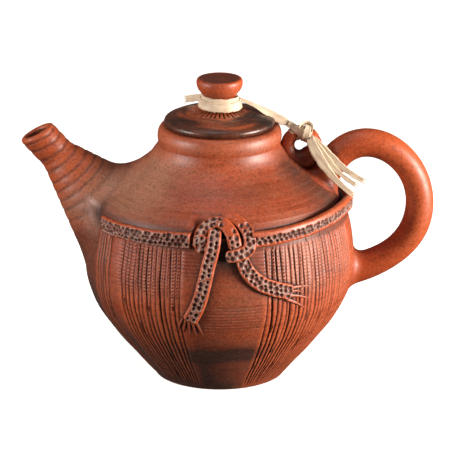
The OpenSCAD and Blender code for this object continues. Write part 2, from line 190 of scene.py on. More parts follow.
def build(name, *grids):
    """Makes one mesh object of closed grids. A grid is a dictionary: points (rows, columns, xyz) in
    millimetres whose columns close on themselves, ring true where the rows do too, and any further entries
    as values of a point attribute, one for each row, each column, each point or all. Open end rows are
    closed with a fan to their middle."""
    verts, faces, values = [], [], {}
    keys = sorted({k for g in grids for k in g} - {"points", "ring"})
    start = 0
    for g in grids:
        p = g["points"]
        rows, cols = p.shape[:2]
        index = np.arange(rows * cols).reshape(rows, cols)
        beside = np.roll(index, -1, 1)
        flat = p.reshape(-1, 3)
        if g.get("ring"):
            quads = np.stack([index, beside, np.roll(beside, -1, 0), np.roll(index, -1, 0)], -1)
            fans = np.zeros((0, 3), int)
            middles = 0
        else:
            quads = np.stack([index[:-1], beside[:-1], beside[1:], index[1:]], -1)
            first, last = np.full(cols, rows * cols), np.full(cols, rows * cols + 1)
            fans = np.concatenate([np.stack([first, beside[0], index[0]], -1),
                                   np.stack([last, index[-1], beside[-1]], -1)])
            flat = np.concatenate([flat, p[0].mean(0)[None], p[-1].mean(0)[None]])
            middles = 2
        quads = quads.reshape(-1, 4)
        tris = np.concatenate([quads[:, [0, 1, 2]], quads[:, [0, 2, 3]], fans])
        a, b, c = (flat[tris[:, k]] - flat.mean(0) for k in range(3))
        if np.einsum("ij,ij->i", a, np.cross(b, c)).sum() < 0:
            quads, fans = quads[:, ::-1], fans[:, ::-1]
        verts.append(flat)
        faces += (quads + start).tolist() + (fans + start).tolist()
        for k in keys:
            v = np.broadcast_to(g.get(k, 0.0), (rows, cols))
            ends = [v[0].mean(), v[-1].mean()][:middles]
            values.setdefault(k, []).append(np.concatenate([v.reshape(-1), ends]))
        start += len(flat)
    mesh = bpy.data.meshes.new(name)
    mesh.from_pydata((np.concatenate(verts) * MM).tolist(), [], faces)
    for k in keys:
        layer = mesh.attributes.new(k, "FLOAT", "POINT")
        layer.data.foreach_set("value", np.concatenate(values[k]).astype(np.float32))
    mesh.shade_smooth()
    mesh.update()
    obj = bpy.data.objects.new(name, mesh)
    bpy.context.scene.collection.objects.link(obj)
    return obj


def finish_piece(obj, material, slot, body, *nodes):
    """Gives a piece its material and body, and hides the solids it stands for. The slot is not used."""
    obj.data.materials.append(material)
    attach(obj, body)
    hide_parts(*nodes)


# Materials

def linear(colour):
    """An sRGB hex value as linear red, green and blue: (c/12.92) when dark, else ((c+0.055)/1.055)^2.4."""
    c = np.array([int(colour[i:i + 2], 16) for i in (1, 3, 5)]) / 255.0
    return tuple(np.where(c <= 0.04045, c / 12.92, ((c + 0.055) / 1.055) ** 2.4).tolist())


def opaque(colour):
    """A colour property as red, green, blue and full alpha."""
    return (*colour, 1.0)


def add(tree, kind, settings=None, inputs=None):
    """Adds a node, sets its options, and fills its sockets with values or links them to other sockets."""
    node = tree.nodes.new(kind)
    for key, value in (settings or {}).items():
        setattr(node, key, value)
    for key, value in (inputs or {}).items():
        if isinstance(value, bpy.types.NodeSocket):
            tree.links.new(value, node.inputs[key])
        else:
            node.inputs[key].default_value = value
    return node


# Places of a colour mix's sockets: factor and both colours among the inputs, the result among the outputs
MIX_FACTOR, MIX_A, MIX_B, MIX_COLOUR = 0, 6, 7, 2


def blank_material(name):
    """A new material with nothing in its node tree yet."""
    material = bpy.data.materials.new(name)
    material.use_nodes = True
    material.node_tree.nodes.clear()
    return material


# Kinds of clay: colours of its ground, its patches and its film, which also paints sheen and highlights,
# roughness, size of the clouds that the smoke leaves in metres, and share of the streaks that the wheel
# leaves
CLAYS = {
    # The pot's own clay: warm red-brown with a grey-brown smoke film, which also paints its sheen
    "smoked_red_clay": ("clay", "clay_warm", "film", 0.5, 0.04, 0.45),
    # Clay shaped by hand without the wheel: the same red, warmer and almost without streaks
    "pulled_red_clay": ("clay_warm", "clay", "film", 0.47, 0.03, 0.06),
    # The sash's clay: edges rubbed orange with painted highlight, painted highlight on the stamps' rims, and
    # a wash and painted shade in their hollows
    "washed_and_shaded_stamped_clay": ("clay", "clay_warm", "stamp_rim_highlight", 0.46, 0.03, 0.1),
    # The lid's clay: blackened by the smoke, with the red showing through in patches
    "blackened_clay": ("patina", "patina_warm", "film", 0.34, 0.02, 0.12),
}
STREAK_HEIGHT, STREAK_FLATTENING = 0.0025, 0.1
GRIT_SIZE = 0.0013
FIBRE_WIDTH, FIBRE_LENGTH = 0.35, 12.0


def fired_clay(name, colours):
    """Low-fired red clay, smoked and waxed: satin and speckled, clouded and streaked by the smoke, with a
    grey film on raised places that also paints sheen, near black in hollows where a wash and painted shade
    lie, dark where painted shade goes with the smoke, bright where edges are rubbed and highlights painted."""
    found = bpy.data.materials.get(name)
    if found:
        return found
    ground, second, film = (opaque(getattr(colours, key)) for key in CLAYS[name][:3])
    smoke, wash_and_shade, rubbed_and_lit = (opaque(getattr(colours, key)) for key in ("smoke", "wash_and_shade", "rubbed_and_lit"))
    roughness, cloud_size, streaked = CLAYS[name][3:]
    material = blank_material(name)
    tree = material.node_tree
    place = add(tree, "ShaderNodeTexCoord").outputs["Object"]
    # Clouds from the smoke of the kiln
    cloud = add(tree, "ShaderNodeTexNoise", inputs={
        "Vector": place, "Scale": 1 / cloud_size, "Detail": 5.0, "Roughness": 0.62}).outputs[0]
    # Level streaks from the thrower's fingers, ten times as long as they are high
    flat = add(tree, "ShaderNodeMapping", inputs={
        "Vector": place, "Scale": (STREAK_FLATTENING, STREAK_FLATTENING, 1.0)}).outputs[0]
    streak = add(tree, "ShaderNodeTexNoise", inputs={
        "Vector": flat, "Scale": 1 / STREAK_HEIGHT, "Detail": 4.0, "Roughness": 0.65}).outputs[0]
    # Grit, coarser than the real one so that it shows
    grit = add(tree, "ShaderNodeTexNoise", inputs={
        "Vector": place, "Scale": 1 / GRIT_SIZE, "Detail": 3.0, "Roughness": 0.8}).outputs[0]
    # The hollow attribute marks a wash and painted shade, rub marks rubbed edges and painted highlights, film
    # marks film and painted sheen, and smoke marks smoke and painted shade
    hollow, rub, film_and_sheen_share, smoke_and_shade_share = (
        add(tree, "ShaderNodeAttribute", {"attribute_name": key}).outputs["Fac"]
        for key in ("hollow", "rub", "film", "smoke"))
    # Film with its painted sheen, and soot with its painted shade, lie unevenly, as the clouds and the
    # streaks do
    summed = {"operation": "MULTIPLY_ADD"}
    uneven = add(tree, "ShaderNodeMath", summed, {0: streak, 1: streaked, 2: cloud}).outputs[0]
    veil_and_sheen = add(tree, "ShaderNodeMath", summed, {0: uneven, 1: 0.8, 2: film_and_sheen_share}).outputs[0]
    soot_and_shade = add(tree, "ShaderNodeMath", summed, {0: uneven, 1: 0.9, 2: smoke_and_shade_share}).outputs[0]
    # Layers over the ground: what places the layer, the values of that at which it starts and is full, its
    # cover there and its colour
    layers = (
        (cloud, 0.36, 0.64, 1.0, second),
        (streak, 0.5, 0.3, streaked, smoke),
        (veil_and_sheen, 0.53, 1.24, 0.85, film),
        (soot_and_shade, 0.74, 1.3, 0.94, smoke),
        (rub, 0.0, 1.0, 0.9, rubbed_and_lit),
        (hollow, 0.05, 0.9, 0.96, wash_and_shade),
        (grit, 0.5, 0.69, 0.72, smoke),
        (grit, 0.46, 0.28, 0.36, film),
    )
    colour = ground
    for value, start, full, cover, layer in layers:
        share = add(tree, "ShaderNodeMapRange", inputs={
            "Value": value, "From Min": start, "From Max": full, "To Min": 0.0, "To Max": cover}).outputs[0]
        colour = add(tree, "ShaderNodeMix", {"data_type": "RGBA"}, {
            MIX_FACTOR: share, MIX_A: colour, MIX_B: layer}).outputs[MIX_COLOUR]
    sheen = add(tree, "ShaderNodeMapRange", inputs={
        "Value": streak, "From Min": 0.3, "From Max": 0.7,
        "To Min": roughness - 0.07, "To Max": roughness + 0.09}).outputs[0]
    rough = add(tree, "ShaderNodeMath", summed, {0: hollow, 1: 0.35, 2: sheen}).outputs[0]
    height = add(tree, "ShaderNodeMath", summed, {0: streak, 1: 3.0 * streaked, 2: grit}).outputs[0]
    bump = add(tree, "ShaderNodeBump", inputs={
        "Strength": 0.16, "Distance": 0.0004, "Height": height}).outputs[0]
    shader = add(tree, "ShaderNodeBsdfPrincipled", inputs={
        "Base Color": colour, "Roughness": rough, "IOR": 1.45, "Normal": bump,
        "Coat Weight": 0.25, "Coat Roughness": 0.38})
    add(tree, "ShaderNodeOutputMaterial", inputs={"Surface": shader.outputs[0]})
    return material


def raffia_fibre(colours):
    """Dried palm leaf, split into flat strips: matt straw with fine tan fibres along its length."""
    found = bpy.data.materials.get("split_raffia")
    if found:
        return found
    material = blank_material("split_raffia")
    tree = material.node_tree
    along, across = (
        add(tree, "ShaderNodeAttribute", {"attribute_name": key}).outputs["Fac"]
        for key in ("along", "across"))
    # Both attributes are in millimetres
    place = add(tree, "ShaderNodeCombineXYZ", inputs={"X": along, "Y": across}).outputs[0]
    strung = add(tree, "ShaderNodeMapping", inputs={
        "Vector": place, "Scale": (1 / FIBRE_LENGTH, 1 / FIBRE_WIDTH, 1.0)}).outputs[0]
    fibre = add(tree, "ShaderNodeTexNoise", inputs={
        "Vector": strung, "Scale": 1.0, "Detail": 4.0, "Roughness": 0.6}).outputs[0]
    # Blotches some 6 mm across
    blotch = add(tree, "ShaderNodeTexNoise", inputs={
        "Vector": add(tree, "ShaderNodeTexCoord").outputs["Object"],
        "Scale": 1 / 0.006, "Detail": 2.0}).outputs[0]
    shade = add(tree, "ShaderNodeMath", {"operation": "MULTIPLY_ADD"}, {
        0: blotch, 1: 0.7, 2: fibre}).outputs[0]
    factor = add(tree, "ShaderNodeMapRange", inputs={
        "Value": shade, "From Min": 0.72, "From Max": 1.08, "To Min": 0.0, "To Max": 0.75}).outputs[0]
    colour = add(tree, "ShaderNodeMix", {"data_type": "RGBA"}, {
        MIX_FACTOR: factor, MIX_A: opaque(colours.raffia),
        MIX_B: opaque(colours.raffia_tan)}).outputs[MIX_COLOUR]
    bump = add(tree, "ShaderNodeBump", inputs={
        "Strength": 0.35, "Distance": 0.0003, "Height": fibre}).outputs[0]
    shader = add(tree, "ShaderNodeBsdfPrincipled", inputs={
        "Base Color": colour, "Roughness": 0.62, "IOR": 1.45, "Normal": bump})
    add(tree, "ShaderNodeOutputMaterial", inputs={"Surface": shader.outputs[0]})
    return material


# Settings

def size(name, description, default):
    """A length setting, in metres."""
    return bpy.props.FloatProperty(name=name, description=description, default=default, min=0.0,
                                   subtype="DISTANCE", unit="LENGTH", precision=5)


def tint(name, description, default):
    """A colour setting, given as an sRGB hex value."""
    return bpy.props.FloatVectorProperty(name=name, description=description, default=linear(default),
                                         subtype="COLOR", size=3, min=0.0, max=1.0)


class TeapotSizes(bpy.types.PropertyGroup):
    """Sizes of the surface work that the solids leave plain."""
    comb_pitch: size("Comb pitch", "Distance from one combed groove to the next on the belly", 0.0028)
    comb_depth: size("Comb depth", "Depth of a combed groove", 0.0008)
    bead_depth: size("Bead depth", "Depth of the pits along the ribs under the sash", 0.0006)
    line_depth: size("Line depth", "Depth of the level lines on the plain front", 0.0003)
    ridge_height: size("Ridge height", "Height of the spout's throwing ridges", 0.0003)
    dimple_size: size("Dimple size", "Radius of a hollow stamped into the sash", 0.00135)
    dimple_depth: size("Dimple depth", "Depth of a hollow stamped into the sash", 0.001)
    tick_depth: size("Tick depth", "Depth of the short cuts round the knob's foot", 0.0008)
    strip_thickness: size("Raffia thickness", "Thickness of a raffia strip", 0.0007)


class TeapotColours(bpy.types.PropertyGroup):
    """Colours of the clay, the raffia and the floor."""
    clay: tint("Clay", "Red-brown ground of the clay", "#943A17")
    clay_warm: tint("Warm clay", "Orange patches of the clay", "#B84A19")
    # Also paints sheen on the shoulder, the spout's root and the ribs
    film: tint("Film", "Grey-brown film that the smoke leaves", "#A87C62")
    # Also paints shade under the knot, low on the bowl and beside parts
    smoke: tint("Smoke", "Dark brown of the smoked places", "#351D15")
    # Also paints shade in grooves, hollows, gaps and joins
    wash_and_shade: tint("Wash", "Near black in grooves and hollows", "#1C100C")
    # Also paints highlights on edges, ridges, the rim and the handle
    rubbed_and_lit: tint("Rubbed", "Bright orange of rubbed edges", "#C85C2E")
    # Painted highlight on the stamps' rims
    stamp_rim_highlight: tint("Sash rims", "Pale rims of the stamped hollows", "#A5968A")
    patina: tint("Patina", "Black-brown of the lid", "#1F1815")
    patina_warm: tint("Warm patina", "Red patches of the lid", "#65301A")
    raffia: tint("Raffia", "Straw of the raffia", "#E1CBAE")
    raffia_tan: tint("Raffia fibres", "Tan of the raffia's fibres", "#A98A70")
    floor: tint("Floor", "Pale floor", "#F7F6F4")


# Stage

# Camera: a long lens from 2 m away and 18 degrees above the table
CAMERA_DISTANCE = 2.0
CAMERA_ABOVE = math.radians(18.0)
CAMERA_FIELD = math.radians(6.95)
CAMERA_TARGET = np.array([2.9, 0.0, 82.0]) * MM
# Lamps: name, place, width, power and colour
LAMPS = (
    ("key_softbox", (1.63, -0.53, 0.25), 0.8, 96.0, (1.0, 0.94, 0.87)),
    ("left_softbox", (-1.5, -0.6, 0.45), 0.8, 29.0, (1.0, 0.95, 0.9)),
    ("top_softbox", (-0.2, -0.1, 1.5), 0.9, 5.0, (1.0, 1.0, 1.0)),
)
LAMP_TARGET = (0.0, 0.0, 0.07)
WORLD_STRENGTH = 0.07
# Outline of the floor, a flat sheet about the pot that is wide enough to fill the view
FLOOR_OUTLINE = np.array([[400.0, -2.0], [4000.0, -2.0], [4000.0, 0.0], [60.0, 0.0]])
FLOOR_GLOW = 0.8
MOTTLE_SIZE = 0.06


def aimed(obj, place, target):
    """Puts a camera or lamp at a place and turns it to look at a target."""
    obj.location = place
    towards = mathutils.Vector(target) - mathutils.Vector(place)
    obj.rotation_euler = towards.to_track_quat("-Z", "Y").to_euler()
    bpy.context.scene.collection.objects.link(obj)


class TEAPOT_OT_stage(bpy.types.Operator):
    """Camera at the photograph's angle, soft studio light and a pale floor"""
    bl_idname = "teapot.stage"
    bl_label = "Stage"

    def execute(self, context):
        scene = context.scene
        camera = bpy.data.cameras.new("camera")
        camera.angle = CAMERA_FIELD
        camera.clip_start, camera.clip_end = 0.05, 50.0
        eye = bpy.data.objects.new("camera", camera)
        towards = np.array([0.0, -math.cos(CAMERA_ABOVE), math.sin(CAMERA_ABOVE)])
        aimed(eye, CAMERA_TARGET + CAMERA_DISTANCE * towards, CAMERA_TARGET)
        scene.camera = eye
        for name, place, width, power, colour in LAMPS:
            lamp = bpy.data.lights.new(name, "AREA")
            lamp.size, lamp.energy, lamp.color = width, power, colour
            aimed(bpy.data.objects.new(name, lamp), place, LAMP_TARGET)
        world = bpy.data.worlds.new("studio")
        world.use_nodes = True
        world.node_tree.nodes["Background"].inputs["Color"].default_value = (1.0, 1.0, 1.0, 1.0)
        world.node_tree.nodes["Background"].inputs["Strength"].default_value = WORLD_STRENGTH
        scene.world = world
        scene.view_settings.view_transform = "Standard"
        floor = build("floor", {"points": turned(FLOOR_OUTLINE, np.arange(0.0, 360.0, 6.0))})
        paper = bpy.data.materials.new("matt_paper")
        paper.use_nodes = True
        # Matt white paper with a faint mottle
        tree = paper.node_tree
        mottle = add(tree, "ShaderNodeTexNoise", inputs={
            "Vector": add(tree, "ShaderNodeTexCoord").outputs["Object"], "Scale": 1 / MOTTLE_SIZE}).outputs[0]
        pale = opaque(scene.teapot_colours.floor)
        shade = add(tree, "ShaderNodeMix", {"data_type": "RGBA"}, {
            MIX_FACTOR: mottle, MIX_A: pale, MIX_B: tuple(0.985 * c for c in pale[:3]) + (1.0,)})
        shader = tree.nodes["Principled BSDF"]
        tree.links.new(shade.outputs[MIX_COLOUR], shader.inputs["Base Color"])
        tree.links.new(shade.outputs[MIX_COLOUR], shader.inputs["Emission Color"])
        # The paper is lit from behind, so that it stays white at the edges of the view
        shader.inputs["Emission Strength"].default_value = FLOOR_GLOW
        shader.inputs["Roughness"].default_value = 0.95
        floor.data.materials.append(paper)
        floor.visible_diffuse = False
        floor.visible_glossy = False
        return {"FINISHED"}


# Raffia

RAFFIA_ACROSS = np.linspace(-1.0, 1.0, 13)


def ribbon(path, facing, width, thickness, seed, curl=0.0, ridge=0.07):
    """Raffia strip: a flat closed section carried along the path. Its faces stand half the thickness off the
    path, less at the edges by the sixth power of the place across, and rise and fall in fibres: a sum of
    three cosines across the strip whose phases drift along it."""
    rng = np.random.default_rng(seed)
    s = travelled(path)
    x = RAFFIA_ACROSS[None, :]
    drift = s[:, None]
    fibres = sum(np.cos(x * n + drift * rng.uniform(0.08, 0.3) + rng.uniform(0, 6.28))
                 for n in (7.0, 12.0, 17.0)) / 3.0
    width = np.broadcast_to(width, s.shape)[:, None]
    edge = 1.0 + 0.05 * np.sin(drift * 0.9 + seed) + 0.03 * np.sin(drift * 2.3 + 2.0 * seed)
    half = thickness / 2 * (1.0 - 0.55 * x**6)
    bow = curl * (x * x - 0.3)
    top = bow + half + ridge * fibres
    low = bow - half + ridge * fibres
    across = np.concatenate([x * edge * width / 2, (x * edge * width / 2)[:, ::-1]], 1)
    height = np.concatenate([top, low[:, ::-1]], 1)
    points = swept(path, facing, across, height)
    return {"points": points, "along": np.repeat(drift, across.shape[1], 1) + 31.0 * seed, "across": across}


def frayed(path, facing, width, thickness, seed, count, length):
    """Fibres at a strip's end: thin strips that leave its last stretch and spread, each a curve whose side
    step and lift grow with the square of the way along it."""
    rng = np.random.default_rng(seed)
    along = unit(path[-1] - path[-3])
    side = unit(np.cross(along, facing[-1]))
    t = np.linspace(0.0, 1.0, 9)[:, None]
    grids = []
    for k, x in enumerate(np.linspace(-0.8, 0.8, count)):
        reach = length * rng.uniform(0.55, 1.0)
        start = path[-1] + side * x * width / 2 - along * 1.2
        spread = side * (x * 0.9 + rng.uniform(-0.5, 0.5)) + facing[-1] * rng.uniform(-0.25, 0.5)
        line = start + along * (reach + 1.2) * t + spread * t * t
        fibre_width = width / count * rng.uniform(0.7, 1.15) * (1.0 - 0.55 * t[:, 0])
        face = np.repeat(facing[-1:], len(t), 0)
        grids.append(ribbon(line, face, fibre_width, thickness * 0.7, seed + k, ridge=0.02))
    return grids


KNOB_WRAP_Z = 151.8
LUG_MID = np.array([43.8, 0.0, 127.0])
LUG_RING_R, LUG_BAR_R = 7.3, 3.0


def on_lug(ring_angle, turn, r):
    """Point about the lug's bar: the bar's middle at an angle round the ring, and from it a distance at a
    second angle round the bar."""
    a, b = np.radians(ring_angle), np.radians(turn)
    spoke = np.stack([np.cos(a), 0 * a, np.sin(a)], -1)
    out = (LUG_RING_R + r * np.cos(b))[..., None] * spoke
    return LUG_MID + out - (r * np.sin(b))[..., None] * np.array([0.0, 1.0, 0.0])


def round_lug(places, count, before=()):
    """Smooth line through points before the lug and then places about its bar, each a ring angle, a turn
    and a distance."""
    return through([*before, *on_lug(*np.transpose(places))], count)


TETHER = ((12.75, 0.0, KNOB_WRAP_Z), (21.7, 0.0, 148.3), (29.6, 0.0, 142.0), (39.25, 0.0, 138.27))
# Ends that hang from the lug: name, the steps from the lug's middle to the curve's last three controls,
# widths at the start and the tip, fibres at the tip and their length
END_START = np.array([48.29, -5.0, 132.75])
ENDS = (
    ("upper", ((12.0, -9.4, -1.0), (22.0, -9.4, -11.0), (33.0, -9.4, -17.0)), (5.6, 2.9), 4, 2.4),
    ("middle", ((11.0, -10.4, -3.0), (19.0, -10.4, -13.0), (28.8, -10.4, -18.8)), (5.2, 2.4), 3, 2.2),
    ("lower", ((8.0, -11.4, -4.0), (16.0, -11.4, -15.0), (27.2, -11.4, -24.2)), (5.4, 3.2), 6, 3.0),
)


class TEAPOT_OT_raffia(bpy.types.Operator):
    """Tether from the knob to the lug, and the three loose ends"""
    bl_idname = "teapot.raffia"
    bl_label = "Raffia tie"

    def execute(self, context):
        """Flat strips carried along cubic curves, each easing from one width to the next; the tether also
        eases from one facing to another."""
        straw = raffia_fibre(context.scene.teapot_colours)
        thickness = context.scene.teapot_sizes.strip_thickness / MM
        # The strip comes out from under the wrap, so its path starts a little inside it
        path = evenly(np.concatenate([[[10.6, 0.0, 152.5]], bezier(TETHER, 200)]), 0.5)
        # The strip lies flat at the knob, and on its way to the lug it turns its face to the front
        way = np.linspace(0.0, 1.0, len(path))
        twist = np.radians(14.0 + 56.0 * ease(way, 0.2, 0.7))
        facing = np.stack([0.5 * np.cos(twist), -np.sin(twist), np.cos(twist)], -1)
        width = 3.8 + 1.0 * ease(way, 0.3, 0.65) - 1.9 * ease(way, 0.78, 0.98)
        tether = build("raffia_tether", ribbon(path, unit(facing), width, thickness, 3, curl=0.25))
        finish_piece(tether, straw, "raffia", "tie", "tether")
        for k, (name, steps, widths, fibres, fray) in enumerate(ENDS):
            start = END_START - np.array([0.0, k * 1.0, 0.0])
            path = evenly(bezier((start, *(LUG_MID + np.array(steps))), 200), 0.5)
            facing = np.repeat(np.array([[0.0, -1.0, 0.0]]), len(path), 0)
            way = np.linspace(0, 1, len(path))
            width = widths[0] + (widths[1] - widths[0]) * ease(way, 0.25, 0.8)
            width = width * (0.75 + 0.25 * ease(way, 0.0, 0.12))
            grids = [ribbon(path, facing, width, thickness, 11 + k, curl=0.15)]
            grids += frayed(path, facing, widths[1], thickness, 40 + 7 * k, fibres, fray)
            end = build("raffia_end_" + name, *grids)
            finish_piece(end, straw, "raffia", "pot", "end_" + name)
        return {"FINISHED"}


# Winding round the knob: turns, radius at its start and growth a turn, widths of the strip and of its loose
# end, and the steps of that end from the winding's last point
WRAP_TURNS, WRAP_R, WRAP_GROWTH = 2.25, 9.05, 1.2
WRAP_WIDTH, LOOSE_WIDTH = 4.7, 3.6
LOOSE_STEPS = np.array([(0.0, 0.0, 0.0), (-3.9, 0.6, -0.6), (-7.7, 1.7, -1.2), (-12.4, 3.6, -2.1),
                        (-18.2, 6.4, -3.7)])
# Knot on the lug: turns about the bar, ring angle at their start, step a turn and width
HITCH_TURNS, HITCH_START, HITCH_STEP, HITCH_WIDTH = 3.0, 122.0, 27.0, 3.9
# Strips of that knot: steps from the tether's end for the one across the turns, and places of each about the
# lug's bar
CROSS_STEPS = np.array([(-2.6, -0.8, 1.0), (-0.2, -1.3, -0.2), (1.6, -3.0, -1.4)])
CROSS_PLACES = ((84.0, 92.0, 5.2), (62.0, 104.0, 5.0), (50.0, 96.0, 4.6))
BIND_PLACES = ((70.0, -15.0, 4.4), (71.0, 25.0, 5.1), (72.0, 62.0, 5.8), (71.0, 98.0, 6.1),
               (68.0, 130.0, 5.4), (66.0, 165.0, 4.3))
LOOP_PLACES = ((98.0, 44.0, 4.6), (91.0, 22.0, 5.0), (83.0, 8.0, 5.5), (72.0, 4.0, 5.7),
               (62.0, 18.0, 5.3), (58.0, 50.0, 4.9))
LOOP_HUB = np.array([77.0, 20.0, 5.0])


class TEAPOT_OT_windings(bpy.types.Operator):
    """Raffia wound round the knob's neck and knotted on the lug"""
    bl_idname = "teapot.windings"
    bl_label = "Raffia windings"

    def execute(self, context):
        """Strips carried along a widening screw line round the knob's neck, along a screw line about the
        lug's bar, and along smooth lines through points over it."""
        straw = raffia_fibre(context.scene.teapot_colours)
        thickness = context.scene.teapot_sizes.strip_thickness / MM
        # Round the knob the strip sinks from high to low as it goes over itself
        turn = np.linspace(0.0, WRAP_TURNS, 260)
        a = turn * 2 * math.pi
        r = WRAP_R + WRAP_GROWTH * turn
        rise = 1.3 - 2.1 * ease(turn, 0.85, 1.35) + 0.3 * np.sin(a + 0.8) - 0.6 * np.cos(a)
        wound = np.stack([r * np.cos(a), r * np.sin(a), KNOB_WRAP_Z + rise], -1)
        loose = through(wound[-1] + LOOSE_STEPS, 40)[1:]
        path = np.concatenate([wound, loose])
        facing = np.concatenate([np.stack([np.cos(a), np.sin(a), 0.2 + 0 * a], -1),
                                 np.linspace([0.0, 1.0, 0.2], [0.5, 0.85, -0.3], len(loose))])
        width = np.concatenate([np.full(len(wound), WRAP_WIDTH),
                                np.linspace(WRAP_WIDTH, LOOSE_WIDTH, len(loose))])
        wrap = build("raffia_wrap", ribbon(path, unit(facing), width, thickness, 5, ridge=0.12),
                     *frayed(path, unit(facing), LOOSE_WIDTH, thickness, 71, 5, 1.6))
        finish_piece(wrap, straw, "raffia", "tie", "knob_wrap")
        # On the lug: turns about the bar that step along the ring, a strip drawn across them, one that binds
        # it down, and a loop
        turn = np.linspace(0.0, HITCH_TURNS, 300)
        ring = HITCH_START - HITCH_STEP * turn
        r = np.full_like(turn, LUG_BAR_R + 0.3 + thickness / 2)
        path = on_lug(ring, 360.0 * turn, r)
        facing = unit(path - on_lug(ring, 0 * turn, 0 * r))
        # The strip is drawn together inside the ring, where the turns lie closer
        width = HITCH_WIDTH * (0.62 + 0.38 * wave(turn, 1.0))
        grids = [ribbon(path, facing, width, thickness, 9, ridge=0.08)]
        cross = round_lug(CROSS_PLACES, 60, TETHER[-1] + CROSS_STEPS)
        middle = on_lug(np.linspace(118.0, 50.0, 60), np.zeros(60), np.zeros(60))
        # It starts over the tether's end and faces as that does, and turns until it lies on the bar
        turned_over = ease(np.linspace(0.0, 1.0, 60), 0.1, 0.5)[:, None]
        facing = np.array([0.17, -0.94, 0.34]) * (1.0 - turned_over) + unit(cross - middle) * turned_over
        grids.append(ribbon(cross, unit(facing), 3.8, thickness, 15, curl=0.2))
        bind = round_lug(BIND_PLACES, 60)
        middle = on_lug(np.linspace(70.0, 66.0, 60), np.zeros(60), np.zeros(60))
        grids.append(ribbon(bind, unit(bind - middle), 3.6, thickness, 18, curl=0.25))
        loop = round_lug(LOOP_PLACES, 70)
        grids.append(ribbon(loop, unit(loop - on_lug(*LOOP_HUB)), 3.2, thickness, 21, curl=0.15))
        hitch = build("raffia_hitch", *grids)
        finish_piece(hitch, straw, "raffia", "pot", "lug_hitch")
        return {"FINISHED"}


# Thrown pot

# Panels of combed grooves, as azimuths, and the bare strip inside the first of them
COMB_PANELS = ((-63.0, -14.5), (20.3, 74.0), (107.0, 246.0))
COMB_GAP = (-54.0, -47.0)
# Half the width of a combed groove, and pitches of the pits along the ribs and of the level lines
GROOVE_HALF = 0.58
BEAD_PITCH = 1.8
LINE_PITCH, UPPER_LINE_PITCH = 1.8, 1.9
# Where each kind of surface work starts, is full, is last full and ends, in heights and azimuths
COMBED_HEIGHTS = (0.0, 12.0, 87.5, 91.0)
BEADED_HEIGHTS = (58.0, 66.0, 88.0, 90.5)
LINED_HEIGHTS = (43.5, 46.5, 59.0, 61.5)
UPPER_LINED_HEIGHTS = (74.0, 77.0, 88.0, 90.5)
PLAIN_FRONT = (-13.5, -11.0, 17.5, 20.0)
FRONT_EDGES = ((-16.5, -14.5, -6.0, -4.0), (13.5, 15.0, 19.5, 20.5))
BEHIND_KNOT = (-6.5, -4.5, 8.0, 10.0)
DRAWN_SIDE = (-140.0, -120.0, -14.0, -8.0)
RINGED_HEIGHTS = (98.0, 102.0, 123.0, 126.0)


def comb_grooves(pitch):
    """Azimuths of the combed grooves, each a little off its even place in its panel, with their depth shares
    and the phases of their wavering. Bare bands stay at the spout, the handle and the front."""
    rng = np.random.default_rng(12)
    azimuths = np.concatenate([np.arange(low, high, pitch / DEGREE) for low, high in COMB_PANELS])
    azimuths = azimuths[(azimuths < COMB_GAP[0]) | (azimuths > COMB_GAP[1])]
    azimuths = azimuths + rng.uniform(-0.2, 0.2, len(azimuths))
    depths = rng.uniform(0.6, 1.15, len(azimuths))
    return azimuths, depths, rng.uniform(0.0, 6.28, len(azimuths))


